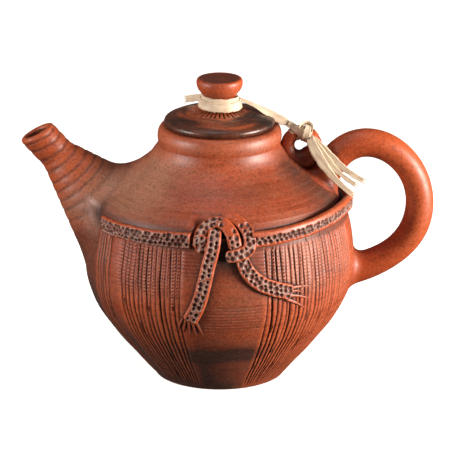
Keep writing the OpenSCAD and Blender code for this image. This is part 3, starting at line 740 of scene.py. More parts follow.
class TEAPOT_OT_bowl(bpy.types.Operator):
    """Bowl of the pot, combed in panels below the sash"""
    bl_idname = "teapot.bowl"
    bl_label = "Bowl"

    def execute(self, context):
        """The outline is turned round the axis, and each point is moved off it by the combed grooves (a
        parabola across each), the pits along the ribs and the level lines (raised cosines of the height)."""
        sizes = context.scene.teapot_sizes
        grooves, deep, phase = comb_grooves(sizes.comb_pitch / MM)
        # Columns of the grid lie close together at the grooves, most at the front, and wide apart elsewhere
        at_front = grooves < 90.0
        fine = np.array([-1.55, -1.2, -0.6, -0.3, 0.0, 0.3, 0.6]) / DEGREE
        coarse = np.array([-0.6, 0.0, 0.6]) / DEGREE
        beside = np.concatenate([(grooves[at_front, None] + fine).reshape(-1),
                                 (grooves[~at_front, None] + coarse).reshape(-1)])
        plain = np.arange(-114.0, 246.0, 1.4)
        plain = plain[np.abs(plain[:, None] - beside[None]).min(1) > 0.75]
        az = np.sort(np.concatenate([beside, plain]))
        gap = np.abs(az[:, None] - grooves[None]) * DEGREE
        nearest = gap.argmin(1)
        gap = gap.min(1)
        heights = np.concatenate([np.arange(1.0, 42.0, 2.1), np.arange(42.0, 66.0, 0.6),
                                  np.arange(66.0, 89.5, 0.45), np.arange(89.5, 96.0, 1.3)])
        side = np.stack([np.interp(heights, BOWL_SIDE[:, 1], BOWL_SIDE[:, 0]), heights], -1)
        under = np.array([[3.0, 0.0], [18.0, 0.0], [32.0, 0.0], [34.4, 0.1], [35.2, 0.45]])
        inner = np.concatenate([bezier(INNER_HIGH, 8), bezier(INNER_LOW, 12)[1:]])
        over = np.array([[68.0, 95.9], [67.5, 96.3], [66.8, 96.0], [65.2, 94.5], [63.75, 93.0], [60.5, 92.4]])
        outline = np.concatenate([under, side, over, inner, [[16.0, 6.0], [3.0, 6.0]]])
        z = outline[:, 1:]
        edge_row = len(under) + len(side)
        outer = np.zeros((len(outline), 1))
        outer[len(under):edge_row] = 1.0
        # Grooves run out under the sash and towards the foot, and waver a quarter of a millimetre
        along = within(z, *COMBED_HEIGHTS) * outer
        depth = deep[nearest] * (0.8 + 0.2 * np.sin(z / 9.0 + phase[nearest]))
        groove = np.clip(1.0 - (gap / GROOVE_HALF) ** 2, 0.0, 1.0) * depth * along
        waver = 0.25 / DEGREE * np.sin(z / 7.0 + phase[nearest]) * outer * (gap < 2.0)
        rib = within(gap, 0.5, 1.0, 1.9, 2.4) * along
        # Ribs of the left panel have pits from its bare strip on, and further right every other rib has deep
        # ones
        high = within(z, *BEADED_HEIGHTS)
        pits = wave(z, BEAD_PITCH, phase[nearest]) ** 1.3 * high
        beaded = np.where(grooves[nearest] < 0.0, grooves[nearest] > COMB_GAP[0],
                          0.35 + 0.6 * (nearest % 2 == 0))
        pit = pits * ease(gap, 0.5, 0.9) * beaded * (gap < 2.2) * along
        # Level lines lie across the plain front, and higher up only at its two edges
        front = within(az, *PLAIN_FRONT)
        lines = wave(z, LINE_PITCH) ** 2 * within(z, *LINED_HEIGHTS)
        upper = wave(z, UPPER_LINE_PITCH) ** 2 * within(z, *UPPER_LINED_HEIGHTS)
        edges = sum(within(az, *span) for span in FRONT_EDGES)
        line = (lines * front + upper * edges) * outer
        shift = -(groove * sizes.comb_depth + pit * sizes.bead_depth + line * sizes.line_depth) / MM
        shift = shift + outer * 0.1 * np.sin(z / 2.6 + np.radians(az))
        # Smoke and painted shade: a smoke smear low on the front; painted shade towards the foot, at the
        # lower left, across the front's middle, beside the spout and under the knot
        smear_mid = 27.5 + 1.2 * np.sin(np.radians(az) * 9.0)
        smear = np.exp(-np.abs((z - smear_mid) / 5.4) ** 2.5) * within(az, -34.0, -6.0, 12.0, 38.0) * 0.5
        low = ease(z, 30.0, 0.0) * 0.24 + ease(z, 66.0, 14.0) * ease(az, 20.0, -30.0) * 0.52
        shade = bell(az, 4.0, 8.0) * bell(z, 84.0, 7.0) * 0.5
        spout_side = ease(np.abs(az + 90.0), 52.0, 22.0) * 0.5
        smoke = (smear + low + shade + spout_side + 0.2 * front) * outer + (1 - outer) * 0.3
        # A wash and painted shade lie in every hollow; painted shade inside the edge and behind the knot, and
        # a painted shadow under the sash
        lip = np.zeros_like(outer)
        lip[edge_row + 2:edge_row + 6] = 1.0
        behind = within(az, *BEHIND_KNOT) * ease(z, 82.0, 86.0) * 0.85
        painted_shadow_under_sash = ease(z, 88.0, 91.0) * 0.6 * outer
        hollow = groove * 1.2 + pit * 0.8 + line * 0.5 + lip + behind * outer + painted_shadow_under_sash
        hollow = np.clip(hollow, 0.0, 1.0)
        # Wash and painted shade also gather along the tails of the knot
        for name, line_points, widths, *_ in KNOT:
            if name.startswith("tail"):
                tail = through(line_points, 160)
                sideways = (az[None, :, None] - tail[:, 0]) * DEGREE
                off = np.hypot(sideways, z[:, :, None] - SASH_MID - tail[:, 1]).min(-1)
                half = widths[-1] / 2
                hollow = np.maximum(hollow, 0.8 * ease(off, half + 2.2, half) * outer)
        # Film and painted highlight on the ribs' tops at the right, and rubbed orange with painted highlight
        # along the ribs
        film = rib * high * 0.5 * within(az, 15.0, 25.0, 42.0, 60.0) * (1.0 - 0.6 * pit)
        rub = rib * (0.25 + 0.25 * ease(az, 0.0, -15.0)) * (1.0 - pit)
        bowl = build("thrown_bowl", {"points": turned(outline, az + waver, shift), "hollow": hollow,
                                     "film": film, "smoke": smoke, "rub": rub})
        clay = fired_clay("smoked_red_clay", context.scene.teapot_colours)
        finish_piece(bowl, clay, "clay", "pot", "bowl")
        return {"FINISHED"}


class TEAPOT_OT_shoulder(bpy.types.Operator):
    """Shoulder, neck and rolled rim of the pot"""
    bl_idname = "teapot.shoulder"
    bl_label = "Shoulder and rim"

    def execute(self, context):
        """The outline, closed on itself, is turned round the axis; throwing rings are slow waves off it, and
        at the left its lower edge is drawn out over the sash's inner side."""
        # The neck is smoothed from the shoulder into the rim
        shoulder = bezier(SHOULDER, 60)[:-6]
        outer = np.concatenate([[[63.4, 92.5], [64.1, 95.2]], shoulder, bezier(RIM, 20)])
        throat = np.array([[28.0, SEAT_Z], [25.4, SEAT_Z - 0.1], [THROAT_R, SEAT_Z - 0.9],
                           [THROAT_R, 131.0], [THROAT_R, 124.5]])
        outline = np.concatenate([outer, throat, bezier(UNDER_SHOULDER, 14), [[58.0, 92.5]]])
        az = np.arange(-180.0, 180.0, 1.5)
        z = outline[:, 1:]
        row = np.arange(len(outline))[:, None]
        outside = (row < len(outer)) * 1.0
        on_shoulder = within(z, *RINGED_HEIGHTS) * outside
        rings = 0.07 * np.sin(z * 2.4 + np.radians(az)) + 0.05 * np.sin(z * 5.1 + 1.0)
        drawn = DRAWN_OUT * ease(z, *DRAWN_SPAN) * within(az, *DRAWN_SIDE) * outside
        # Painted shade below the rim, in the open gap at the right, behind the knot and beside the sash
        groove = bell(z, 127.0, 1.3) * outside
        shade_in_open_gap = ease(z, 100.5, 98.0) * ease(az, 8.0, 24.0) * outside
        behind = within(az, *BEHIND_KNOT) * ease(z, 103.0, 101.0) * outside
        shade_beside_sash = ease(z, 100.8, 98.3) * within(az, -66.0, -60.0, -14.0, -9.0) * outside
        hollow = 0.15 * groove + 0.95 * shade_in_open_gap + 0.9 * behind + 0.6 * shade_beside_sash
        # Painted highlight on the rim's roll, and painted sheen on the shoulder's left, as film and less
        # smoke
        rim = bell(z, 134.5, 3.2) * outside
        left = ease(np.abs(az + 58.0), 46.0, 10.0)
        # Smoke and painted shade: less at the left for the painted sheen; painted shade above the sash; smoke
        # across the front; painted shade at the right; darker below the lug; painted shade where the sash's
        # end meets the spout's root; smoke round the spout's root behind
        smoke = 0.1 - 0.12 * left
        smoke = smoke + 0.3 * ease(z, 107.0, 98.0) * within(az, -62.0, -46.0, -10.0, 30.0)
        smoke = smoke + 0.2 * bell(z, 114.0, 4.0) * bell(az, 4.0, 34.0) + 0.1 * ease(az, 0.0, 30.0)
        smoke = smoke + 0.4 * bell(az, 68.0, 17.0) * ease(z, 128.0, 120.0)
        smoke = smoke + 0.5 * bell(az, -68.0, 11.0) * bell(z, 98.0, 4.0)
        smoke = smoke + 0.1 * within(az, -140.0, -120.0, -66.0, -48.0)
        grid = {"points": turned(outline, az, rings * on_shoulder + drawn), "ring": True,
                "hollow": np.clip(hollow, 0.0, 1.0), "rub": 0.3 * rim,
                "film": 0.46 * left * on_shoulder + 0.15 * rim,
                "smoke": smoke * outside + (1 - outside) * 0.3}
        clay = fired_clay("smoked_red_clay", context.scene.teapot_colours)
        finish_piece(build("thrown_shoulder", grid), clay, "clay", "pot", "shoulder")
        return {"FINISHED"}


def luted(rings, reach, spread, kept, turned_rows, seat):
    """Carries the long lines of a tube, given as rows from its free end into the pot, smoothly on to the pot.
    Each line is kept up to a reach before it meets the pot; then a curve of the second degree, whose corner
    is the meeting point, brings it to lie on the pot a spread further out, and a last row sinks it."""
    inside = np.hypot(rings[..., 0], rings[..., 1]) < seat(rings[..., 2])
    meet = np.maximum(inside.argmax(0), 2)
    step = np.linalg.norm(np.diff(rings, axis=0), axis=2).mean(0)
    last = np.maximum(meet - reach / step, 1.0)
    at = np.linspace(0.0, 1.0, kept)[:, None] * last[None]
    low = np.minimum(at.astype(int), len(rings) - 2)
    share = (at - low)[..., None]
    column = np.arange(rings.shape[1])[None]
    tube = rings[low, column] * (1 - share) + rings[low + 1, column] * share
    corner = rings[meet, column[0]]
    centre = rings.mean(1)[meet]
    azimuth = np.degrees(np.arctan2(corner[:, 0], -corner[:, 1]))
    _, normal = on_pot(azimuth, corner[:, 2], 0.0 * azimuth, seat)
    away = unit(corner - centre)
    away = unit(away - normal * np.einsum("ij,ij->i", away, normal)[:, None])
    landing = corner + away * np.asarray(spread)[..., None]
    azimuth = np.degrees(np.arctan2(landing[:, 0], -landing[:, 1]))
    landing, normal = on_pot(azimuth, landing[:, 2], np.full(len(azimuth), -0.35), seat)
    t = np.linspace(0.0, 1.0, turned_rows)[1:, None, None]
    bend = (1 - t) ** 2 * tube[-1] + 2 * t * (1 - t) * corner + t * t * landing
    return np.concatenate([tube, bend, (landing - normal * 1.6)[None]])


# Spout: middle of its mouth, lean of its axis, slant of the mouth, radius at the mouth, depth from which the
# radius grows and by how much a millimetre, pitch of the ridges
SPOUT_MOUTH = np.array([-98.4, 0.0, 134.7])
SPOUT_LEAN = math.radians(42.0)
SPOUT_SLANT = math.radians(14.0)
SPOUT_R, SPOUT_STRAIGHT, SPOUT_GROWTH = 9.4, 17.0, 0.36
RIDGE_PITCH = 5.6
# How far before the pot the spout's root begins to spread, how far it spreads, and how much more at the top
SPOUT_REACH, SPOUT_SPREAD, SPOUT_SPREAD_TOP = 11.0, 14.0, 3.0
# Middle radius of the spout's lip, and half its thickness
LIP_R, LIP_HALF = 7.5, 1.9
# Where the sash's left end meets the spout's root, and how far the painted shade there spreads
SASH_CORNER = np.array([-62.0, -27.0, 96.0])
SASH_CORNER_SPREAD = np.array([8.0, 9.0, 7.0])


class TEAPOT_OT_spout(bpy.types.Operator):
    """Spout with throwing ridges, its root smoothed into the pot"""
    bl_idname = "teapot.spout"
    bl_label = "Spout"

    def execute(self, context):
        """A tube about a leaning axis: its radius is even behind the mouth and then grows with the depth,
        ridges are rounded waves of the depth, and a half-round lip joins it to the bore."""
        ridge = context.scene.teapot_sizes.ridge_height / MM
        around = np.radians(np.arange(0.0, 360.0, 3.0))[None, :]
        cut = -np.tan(SPOUT_SLANT) * 8.0 * np.cos(around)

        def radius(d):
            """Outer radius at a depth behind the mouth."""
            return SPOUT_R + SPOUT_GROWTH * np.maximum(0.0, d - SPOUT_STRAIGHT)

        def slanted(d):
            """Shift of the depth that slants the mouth, gone 24 mm behind it."""
            return cut * (1.0 - ease(d, 2.0, 24.0))

        def placed(r, d):
            """Points at a radius from the leaning axis and a depth along it."""
            x, y, up = r * np.cos(around), r * np.sin(around), -d
            sin, cos = math.sin(SPOUT_LEAN), math.cos(SPOUT_LEAN)
            return SPOUT_MOUTH + np.stack([x * cos - up * sin, y + 0 * up, x * sin + up * cos], -1)

        def ridges(d):
            """Share of a ridge's height at a depth, with narrow valleys that waver round the spout."""
            waver = 0.9 * np.sin(d / 5.3) + 0.6 * np.sin(around + 0.6) + 0.4 * np.sin(2 * around)
            return 1.0 - wave(d - 3.0 + waver, RIDGE_PITCH) ** 4

        d = np.linspace(1.5, 76.6, 700)[:, None]
        fade = within(d, 1.5, 4.0, 46.0, 66.0)
        outside = placed(radius(d) + ridge * (ridges(d) - 0.4) * fade, d - slanted(d))
        spread = SPOUT_SPREAD + SPOUT_SPREAD_TOP * np.cos(around[0])
        body = luted(outside, SPOUT_REACH, spread, 190, 14, drawn_radius)
        lip_turn = np.linspace(0.0, math.pi, 12)[1:-1, None]
        lip = placed(LIP_R - LIP_HALF * np.cos(lip_turn), 1.5 - 1.5 * np.sin(lip_turn) - cut)
        deep = np.linspace(56.0, 1.5, 24)[:, None]
        bore = placed(radius(deep) - 3.8 + 0.8 * ease(deep, 2.0, 12.0), deep - slanted(deep))
        points = np.concatenate([bore, lip, body])
        row = np.arange(len(points))[:, None]
        on_body = row >= len(bore) + len(lip)
        lean = np.array([math.sin(SPOUT_LEAN), 0.0, -math.cos(SPOUT_LEAN)])
        depth = (points - SPOUT_MOUTH) @ lean
        depth = depth + slanted(depth)
        way = np.clip(depth / 56.0, 0.0, 1.0)
        # Painted shade inside the bore, in the ridges' valleys, on the underside and where the sash's end
        # meets the root; painted highlight on the lip and the ridges' tops
        valley = (1.0 - ridges(depth)) * ease(depth, 58.0, 40.0) * on_body
        hollow = np.where(row < len(bore), 0.8 - 0.3 * ease(row, 19.0, 24.0), 0.42 * valley)
        rub = 0.5 * bell(row, 31.0, 5.0) + 0.4 * ridges(depth) * ease(depth, 48.0, 26.0) * on_body
        below = 0.5 - 0.5 * np.cos(around)
        shade_beside_sash = bell(points, SASH_CORNER, SASH_CORNER_SPREAD).prod(-1)
        smoke = 0.02 - 0.06 * way + (0.1 + 0.1 * way) * below + 0.55 * shade_beside_sash
        # Towards the root the painted sheen goes over into the shoulder's, and the smoke and painted shade
        # into the bowl's
        smoke = smoke + 0.34 * ease(depth, 44.0, 60.0) * ease(points[..., 2], 95.0, 80.0)
        film = 0.5 * ease(depth, 24.0, 44.0) * (1 - 0.4 * below)
        film = film * ease(points[..., 1], 14.0, -14.0) * ease(points[..., 2], 80.0, 97.0)
        spout = build("ridged_spout", {"points": points, "hollow": hollow, "rub": rub, "smoke": smoke,
                                       "film": film})
        clay = fired_clay("smoked_red_clay", context.scene.teapot_colours)
        finish_piece(spout, clay, "clay", "pot", "spout")
        return {"FINISHED"}


# The handle's two curves, along the pot's length and in height, as controls
HANDLE_OVER = ((54.0, 103.0), (66.0, 147.5), (107.7, 126.5), (107.7, 95.0))
HANDLE_DOWN = ((107.7, 95.0), (107.7, 72.0), (88.0, 60.0), (66.0, 56.0))
# Radius of the handle's bar, the share by which it is thicker at the roots, how far before the pot a root
# begins to spread and how far it spreads
HANDLE_R, HANDLE_SWELL = 7.5, 0.12
HANDLE_REACH, HANDLE_SPREAD = 6.0, 6.5


class TEAPOT_OT_handle(bpy.types.Operator):
    """Pulled handle, both of its roots smoothed into the pot"""
    bl_idname = "teapot.handle"
    bl_label = "Handle"

    def execute(self, context):
        """A round section carried along two joined curves; its radius grows towards the roots with the
        fourth power of the way from the middle. Each half is carried on to the pot from the middle out."""
        around = np.radians(np.arange(0.0, 360.0, 6.0))
        halves = []
        # The second half runs the other way along the bar, so its section is turned to match
        curves = ((bezier(HANDLE_OVER, 500)[::-1], -1.0, shoulder_radius),
                  (bezier(HANDLE_DOWN, 500), 1.0, pot_radius))
        for curve, sense, seat in curves:
            path = np.stack([curve[:, 0], 0 * curve[:, 0], curve[:, 1]], -1)
            t = np.linspace(0.0, 1.0, len(path))[:, None]
            r = HANDLE_R * (1.0 + HANDLE_SWELL * t**4) + 0.12 * sense * np.sin(9.0 * t)
            facing = np.repeat([[0.0, 1.0, 0.0]], len(path), 0)
            rings = swept(path, facing, sense * r * np.cos(around), r * np.sin(around))
            halves.append(luted(rings, HANDLE_REACH, np.full(len(around), HANDLE_SPREAD), 70, 10, seat))
        points = np.concatenate([halves[0][::-1], halves[1][1:]])
        row = np.arange(len(points))[:, None]
        ends = np.minimum(row, len(points) - 1 - row)
        # Painted shade where the roots meet the pot and darker towards them; rubbed orange with painted
        # highlight along the middle
        handle = build("pulled_handle", {"points": points, "hollow": 0.3 * ease(ends, 12.0, 2.0),
                                         "smoke": 0.25 * ease(ends, 34.0, 8.0),
                                         "rub": 0.6 * ease(ends, 26.0, 56.0)})
        clay = fired_clay("pulled_red_clay", context.scene.teapot_colours)
        finish_piece(handle, clay, "clay", "pot", "handle")
        return {"FINISHED"}


class TEAPOT_OT_lug(bpy.types.Operator):
    """Ring lug on the shoulder that the raffia is tied to"""
    bl_idname = "teapot.lug"
    bl_label = "Lug"

    def execute(self, context):
        """A ring: the bar's middle goes round a circle, and the bar's radius grows towards the ring's foot
        with the third power of a raised sine of the angle round the ring."""
        ring = np.arange(0.0, 360.0, 3.0)[:, None]
        turn = np.arange(0.0, 360.0, 10.0)[None, :]
        foot = 0.5 - 0.5 * np.sin(np.radians(ring))
        inward = 0.5 - 0.5 * np.cos(np.radians(ring))
        low_right = 0.5 - 0.5 * np.sin(np.radians(ring - 35.0))
        bar = LUG_BAR_R + 2.4 * low_right**3 + 0.7 * inward**2 + 0.06 * np.sin(np.radians(3 * ring + turn))
        points = on_lug(ring, turn, bar) * np.array([1.0, 1.2, 1.0])
        # Painted shade towards the ring's foot and painted highlight at its top
        lug = build("coiled_lug", {"points": points, "ring": True, "smoke": 0.3 * foot**2 + 0.22,
                                   "hollow": 0.35 * foot**4, "rub": 0.15 * (1 - foot)})
        clay = fired_clay("pulled_red_clay", context.scene.teapot_colours)
        finish_piece(lug, clay, "clay", "pot", "lug_ring")
        return {"FINISHED"}


# Stamped sash

def stamps(length, lanes, pitch, dimple, seed):
    """Middles and sizes of stamped hollows along a strip: lanes across it, each a little off its even place,
    every other lane half a pitch on."""
    rng = np.random.default_rng(seed)
    along, across = [], []
    for k, lane in enumerate(lanes):
        places = np.arange(0.8 + (k % 2) * pitch / 2, length - 0.6, pitch)
        along.append(places + rng.uniform(-0.5, 0.5, len(places)) * pitch / 2)
        across.append(lane + rng.uniform(-0.35, 0.35, len(places)))
    along, across = np.concatenate(along), np.concatenate(across)
    return along, across, dimple * rng.uniform(0.65, 1.2, len(along))


def pressed(along, across, marks):
    """Shares of hollow and of raised rim at grid points: exp(-d^3), with d the distance to the nearest mark
    counted in mark sizes, and a narrow bell of d about 1.2."""
    s, v, r = marks
    d = (np.hypot(along[..., None] - s, across[..., None] - v) / r).min(-1)
    return np.exp(-d**3), bell(d, 1.2, 0.22)


# Radii of the sash's back and of its face, along which the stamps are counted
SASH_BACK_R, SASH_FACE_R = 67.6, 71.7
SASH_STAMP_PITCH, KNOT_STAMP_PITCH = 3.0, 3.1
# Lengths of the sash: name, azimuths of its ends, lanes of stamps, heights off its middle between which the
# plain edge begins, how far its ends are raised, solid it stands for and seed
SASH_LENGTHS = (
    ("stamped_sash_left", (-62.5, -12.4), (-2.2, 0.0, 2.1), (3.1, 3.6), (-0.8, 1.0), "sash_left", 5),
    ("stamped_sash_right", (14.0, 248.0), (-1.4, 0.6), (1.5, 2.4), (1.2, 4.4), "sash_right", 6),
)


class TEAPOT_OT_sash(bpy.types.Operator):
    """Flat lengths of sash round the bowl's edge, stamped all over"""
    bl_idname = "teapot.sash"
    bl_label = "Sash"

    def execute(self, context):
        """An upright strip carried round the pot's axis: a closed section with rounded edges, its outer face
        lowered by the stamped hollows and raised at their rims. The right length climbs towards the handle
        and sinks again behind it."""
        sizes = context.scene.teapot_sizes
        clay = fired_clay("washed_and_shaded_stamped_clay", context.scene.teapot_colours)
        dimple, press = sizes.dimple_size / MM, sizes.dimple_depth / MM
        v = np.linspace(-3.7, 3.6, 24)
        face = np.stack([71.8 - 0.6 * (np.abs(v) / 3.5) ** 3, SASH_MID + v], -1)
        below = [[67.8, 90.2], [69.8, 90.1], [70.8, 90.3]]
        above = [[70.8, 98.4], [69.9, 98.6], [68.6, 98.5], [67.9, 98.0], [67.8, 95.5], [67.6, 93.0]]
        section = np.concatenate([below, face, above])
        v = section[:, 1:] - SASH_MID
        on_face = np.zeros_like(v)
        on_face[len(below):len(below) + len(face)] = 1.0
        for name, (low, high), lanes, plain, (first, last), node, seed in SASH_LENGTHS:
            arc = math.radians(high - low) * SASH_FACE_R
            s = np.linspace(0.0, arc, int(arc / 0.36))
            az = low + s / arc * (high - low)
            marks = stamps(arc, lanes, SASH_STAMP_PITCH, dimple, seed)
            hollow, rim = pressed(s + 0 * v, v + 0 * s, marks)
            hollow, rim = hollow * on_face, rim * on_face
            sway = 0.125 * np.sin(s / 9.0) + 0.075 * np.sin(s / 3.7 + 1.0)
            raised = (first + (last - first) * ease(az, low, min(high, 66.0))) * ease(az, 98.0, 76.0)
            round_end = 1.0 - 0.9 * np.clip(1.0 - np.minimum(s, arc - s) / 0.8, 0.0, 1.0) ** 2
            r = SASH_BACK_R + (section[:, :1] - SASH_BACK_R) * round_end - press * hollow + 0.22 * rim
            z = section[:, 1:] + sway + raised
            a = np.radians(az)
            points = np.stack([r * np.sin(a), -r * np.cos(a), z], -1).transpose(1, 0, 2)
            edge = ease(v, *plain) + ease(v, -plain[0] - 0.4, -plain[1] - 0.4)
            back = (1.0 - on_face) * (v < 3.4)
            # Wash and painted shade in the hollows, painted shade on the back, painted highlight on the
            # stamps' rims, and rubbed orange with painted highlight on the plain edges
            values = {"hollow": np.clip(0.92 * hollow**1.3 + 0.7 * back, 0.0, 1.0),
                      "film": (0.85 * rim + 0.05) * (1.0 - edge) * on_face,
                      "rub": 0.5 * edge,
                      "smoke": 0.32 * (1.0 - edge)}
            sash = build(name, {"points": points, **{key: value.T for key, value in values.items()}})
            finish_piece(sash, clay, "dark_clay", "pot", node)
        return {"FINISHED"}


STRIP_TOP = np.linspace(-1.0, 1.0, 25)


def laid_strip(line, widths, thickness, lanes, dimple, press, seed, edge, bare):
    """Stamped strip laid on the pot: a smooth line through points of azimuth, height above the sash's middle
    and lift is carried on to the pot, and a rounded section swept along it, its face stamped with hollows
    except over a bare share of its length. The ends are rounded by drawing the section in."""
    p = through(line, 600)
    points, normal = on_pot(p[:, 0], SASH_MID + p[:, 1], p[:, 2] + thickness / 2 - 0.25)
    both = evenly(np.concatenate([points, normal], 1), 0.32)
    path, facing = both[:, :3], unit(both[:, 3:])
    s = travelled(path)
    x = STRIP_TOP[None]
    end = np.minimum(s, s[-1] - s)
    drawn = np.sqrt(1.0 - 0.94 * np.clip(1.0 - end / 1.8, 0.0, 1.0) ** 2)[:, None]
    w = np.interp(s / s[-1], np.linspace(0, 1, len(widths)), widths)[:, None]
    across_top = x * w / 2
    along, lane, radius = stamps(s[-1], lanes, KNOT_STAMP_PITCH, dimple, seed)
    kept = (along < bare[0] * s[-1]) | (along > bare[1] * s[-1])
    marks = along[kept], lane[kept], radius[kept]
    hollow, rim = pressed(s[:, None] + 0 * across_top, across_top, marks)
    inside = ease(np.abs(x), 0.95, 0.78)
    hollow, rim = hollow * inside, rim * inside
    crown = 1.0 - 0.6 * np.abs(x) ** 3
    border = edge * bell(np.abs(x), 0.8, 0.14)
    top = thickness / 2 * crown - press * hollow + 0.2 * rim + border
    low_x = np.array([1.04, 1.0, 0.5, 0.0, -0.5, -1.0, -1.04])
    low_y = np.array([0.0, -0.8, -1.0, -1.0, -1.0, -0.8, 0.0]) * thickness / 2
    across = np.concatenate([across_top, low_x * w / 2], 1) * drawn
    height = np.concatenate([top * drawn, np.repeat(low_y[None], len(s), 0)], 1)
    none = np.zeros((len(s), len(low_x)))
    # Rubbed orange with painted highlight along both edges, painted highlight on the stamps' rims, wash and
    # painted shade in their hollows, and painted shade underneath
    rubbed_lit_edges = bell(np.abs(x), 0.86, 0.14) * (1 - hollow)
    way = (s / s[-1])[:, None]
    smooth = within(way, bare[0] - 0.08, bare[0], bare[1], bare[1] + 0.22)
    rim_highlight = (0.85 * rim + 0.05) * (1 - smooth) * (1 - rubbed_lit_edges)
    return {"points": swept(path, facing, across, height),
            "hollow": np.concatenate([0.92 * hollow**1.3, none + 0.7], 1),
            "rub": np.concatenate([0.7 * rubbed_lit_edges, none], 1),
            "film": np.concatenate([rim_highlight, none], 1),
            "smoke": np.concatenate([0.14 + 0 * hollow, none + 0.5], 1)}


def strand(start, end, width):
    """One strand of a tail's fringe: a rounded ridge laid on the pot between two points of azimuth and
    height, tapering evenly, sinking with the cube of the way to its tip, with painted shade along its sides
    and painted highlight along its top."""
    t = np.linspace(0.0, 1.0, 30)
    az = start[0] + (end[0] - start[0]) * t
    z = start[1] + (end[1] - start[1]) * t + 0.5 * np.sin(math.pi * t)
    path, normal = on_pot(az, z, 0.2 - 0.6 * t**3)
    a = np.radians(np.arange(0.0, 360.0, 30.0))[None]
    w = (width * (1.0 - 0.6 * t))[:, None]
    points = swept(path, normal, w / 2 * np.cos(a), w * 0.4 * np.sin(a))
    sides = ease(np.sin(a), 0.85, 0.45)
    return {"points": points, "rub": 0.3 * (1 - sides), "film": 0.15 * (1 - sides), "smoke": 0.2,
            "hollow": 0.95 * sides + 0.15}


STRIP_THICKNESS = 3.0
# Shares past the end of a strip, so that no part of it stays bare
ALL_STAMPED = (2.0, 2.0)
# The knot's strips: name, points of azimuth, height and lift, widths along it, lanes of stamps, raised edge,
# shares of the length between which there are no stamps, solids it stands for and seed
KNOT = (
    ("knot_turn", ((1.4, 9.6, 0.8), (5.2, 9.8, 1.0), (9.0, 8.3, 1.2), (11.6, 5.3, 1.1), (12.9, 2.2, 0.9),
                   (13.1, -1.2, 0.9), (11.8, -4.2, 1.4), (9.2, -5.7, 1.9), (6.4, -6.6, 2.1),
                   (2.6, -7.2, 1.4)),
     (5.4, 5.8, 6.2, 6.5, 6.6, 6.6, 6.6, 6.0), (-1.5, 1.3), 0.1, (0.0, 0.3),
     ("knot_right_loop", "knot_crossing"), 31),
    ("knot_arch", ((-6.4, -4.4, 0.3), (-8.1, -2.4, 0.5), (-8.7, 0.8, 0.6), (-8.0, 3.8, 0.7), (-6.4, 6.0, 0.8),
                   (-4.4, 7.4, 1.0), (-2.0, 8.1, 1.3), (0.8, 7.7, 1.8), (3.8, 5.4, 1.7), (5.9, 1.7, 0.9),
                   (6.9, -3.6, 0.2)),
     (5.6, 6.0, 6.0, 6.2, 6.4, 6.6, 7.0, 7.0), (-1.5, 1.4), 0.1, (0.62, 0.76), ("knot_left_loop",), 32),
    ("tail_left", ((-2.0, 5.2, 0.5), (-2.3, 0.4, 1.5), (-3.3, -5.8, 1.2), (-4.7, -12.5, 0.5),
                   (-5.9, -19.6, 0.25), (-7.8, -29.6, 0.2), (-10.0, -36.4, 0.2), (-12.7, -42.6, 0.1)),
     (6.8, 7.1, 7.4, 7.4, 7.6, 7.8, 8.0), (-1.4, 1.3), 0.45, ALL_STAMPED, ("left_tail",), 33),
    ("tail_right", ((9.2, -7.2, 0.0), (9.9, -10.3, 0.3), (11.4, -14.6, 0.3), (14.0, -18.9, 0.25),
                    (17.6, -22.5, 0.2), (21.8, -25.0, 0.2), (26.2, -27.0, 0.2), (31.0, -29.2, 0.15)),
     (6.6, 7.6, 8.0, 8.0, 8.2, 8.2), (-2.2, 0.0, 2.2), 0.2, ALL_STAMPED, ("right_tail",), 34),
    ("sash_stub", ((-11.0, 1.2, 0.4), (-8.0, 0.3, 0.5), (-5.4, -0.9, 0.4), (-2.6, -2.4, 0.1)),
     (7.4, 7.8, 7.6), (-1.8, 0.5, 2.3), 0.15, ALL_STAMPED, ("sash_left",), 35),
)
# Strands of the tails' fringes: azimuth and height of the root and of the tip, and width
FRINGES = {
    "tail_left": (((-15.4, 53.2), (-18.4, 45.4), 2.3), ((-14.2, 52.4), (-16.0, 43.8), 2.2),
                  ((-13.0, 51.8), (-13.2, 42.6), 2.2), ((-11.6, 51.8), (-10.2, 41.4), 2.2),
                  ((-10.4, 52.6), (-7.2, 42.0), 2.3)),
    "tail_right": (((29.6, 67.6), (40.4, 66.3), 2.4), ((30.6, 65.6), (36.0, 64.4), 2.2),
                   ((30.4, 63.6), (40.5, 59.4), 2.4), ((28.8, 61.8), (39.0, 54.2), 2.4)),
}


class TEAPOT_OT_knot(bpy.types.Operator):
    """Knot of the sash: its loops, the stub beside it and the two fringed tails"""
    bl_idname = "teapot.knot"
    bl_label = "Knot and tails"

    def execute(self, context):
        sizes = context.scene.teapot_sizes
        clay = fired_clay("washed_and_shaded_stamped_clay", context.scene.teapot_colours)
        dimple, press = sizes.dimple_size / MM, sizes.dimple_depth / MM
        for name, line, widths, lanes, edge, bare, nodes, seed in KNOT:
            grids = [laid_strip(line, widths, STRIP_THICKNESS, lanes, dimple, press, seed, edge, bare)]
            grids += [strand(*f) for f in FRINGES.get(name, ())]
            finish_piece(build(name, *grids), clay, "dark_clay", "pot", *nodes)
        return {"FINISHED"}


# Lid

# Outlines of the lid and the knob, radius and height, as controls of cubic curves
LID_EDGE = ((28.3, 138.6), (30.3, 139.86), (30.1, 141.96), (28.3, 142.8))
LID_DOME = ((28.3, 142.8), (22.7, 145.5), (14.6, 146.8), (10.6, 147.8))
LID_HOLLOW = ((2.0, 143.2), (9.0, 143.2), (16.0, 140.9), (18.0, 138.6))
KNOB_SIDE = ((8.4, 154.2), (9.0, 156.8), (12.3, 157.6), (12.4, 162.2))
KNOB_EDGE = ((12.4, 162.2), (12.4, 163.5), (11.9, 164.4), (11.0, 164.4))
# Cuts round the knob's foot: how many, half their width, and the radius at which the width is counted
TICKS = 37
TICK_HALF = 0.5
TICK_R = 12.5


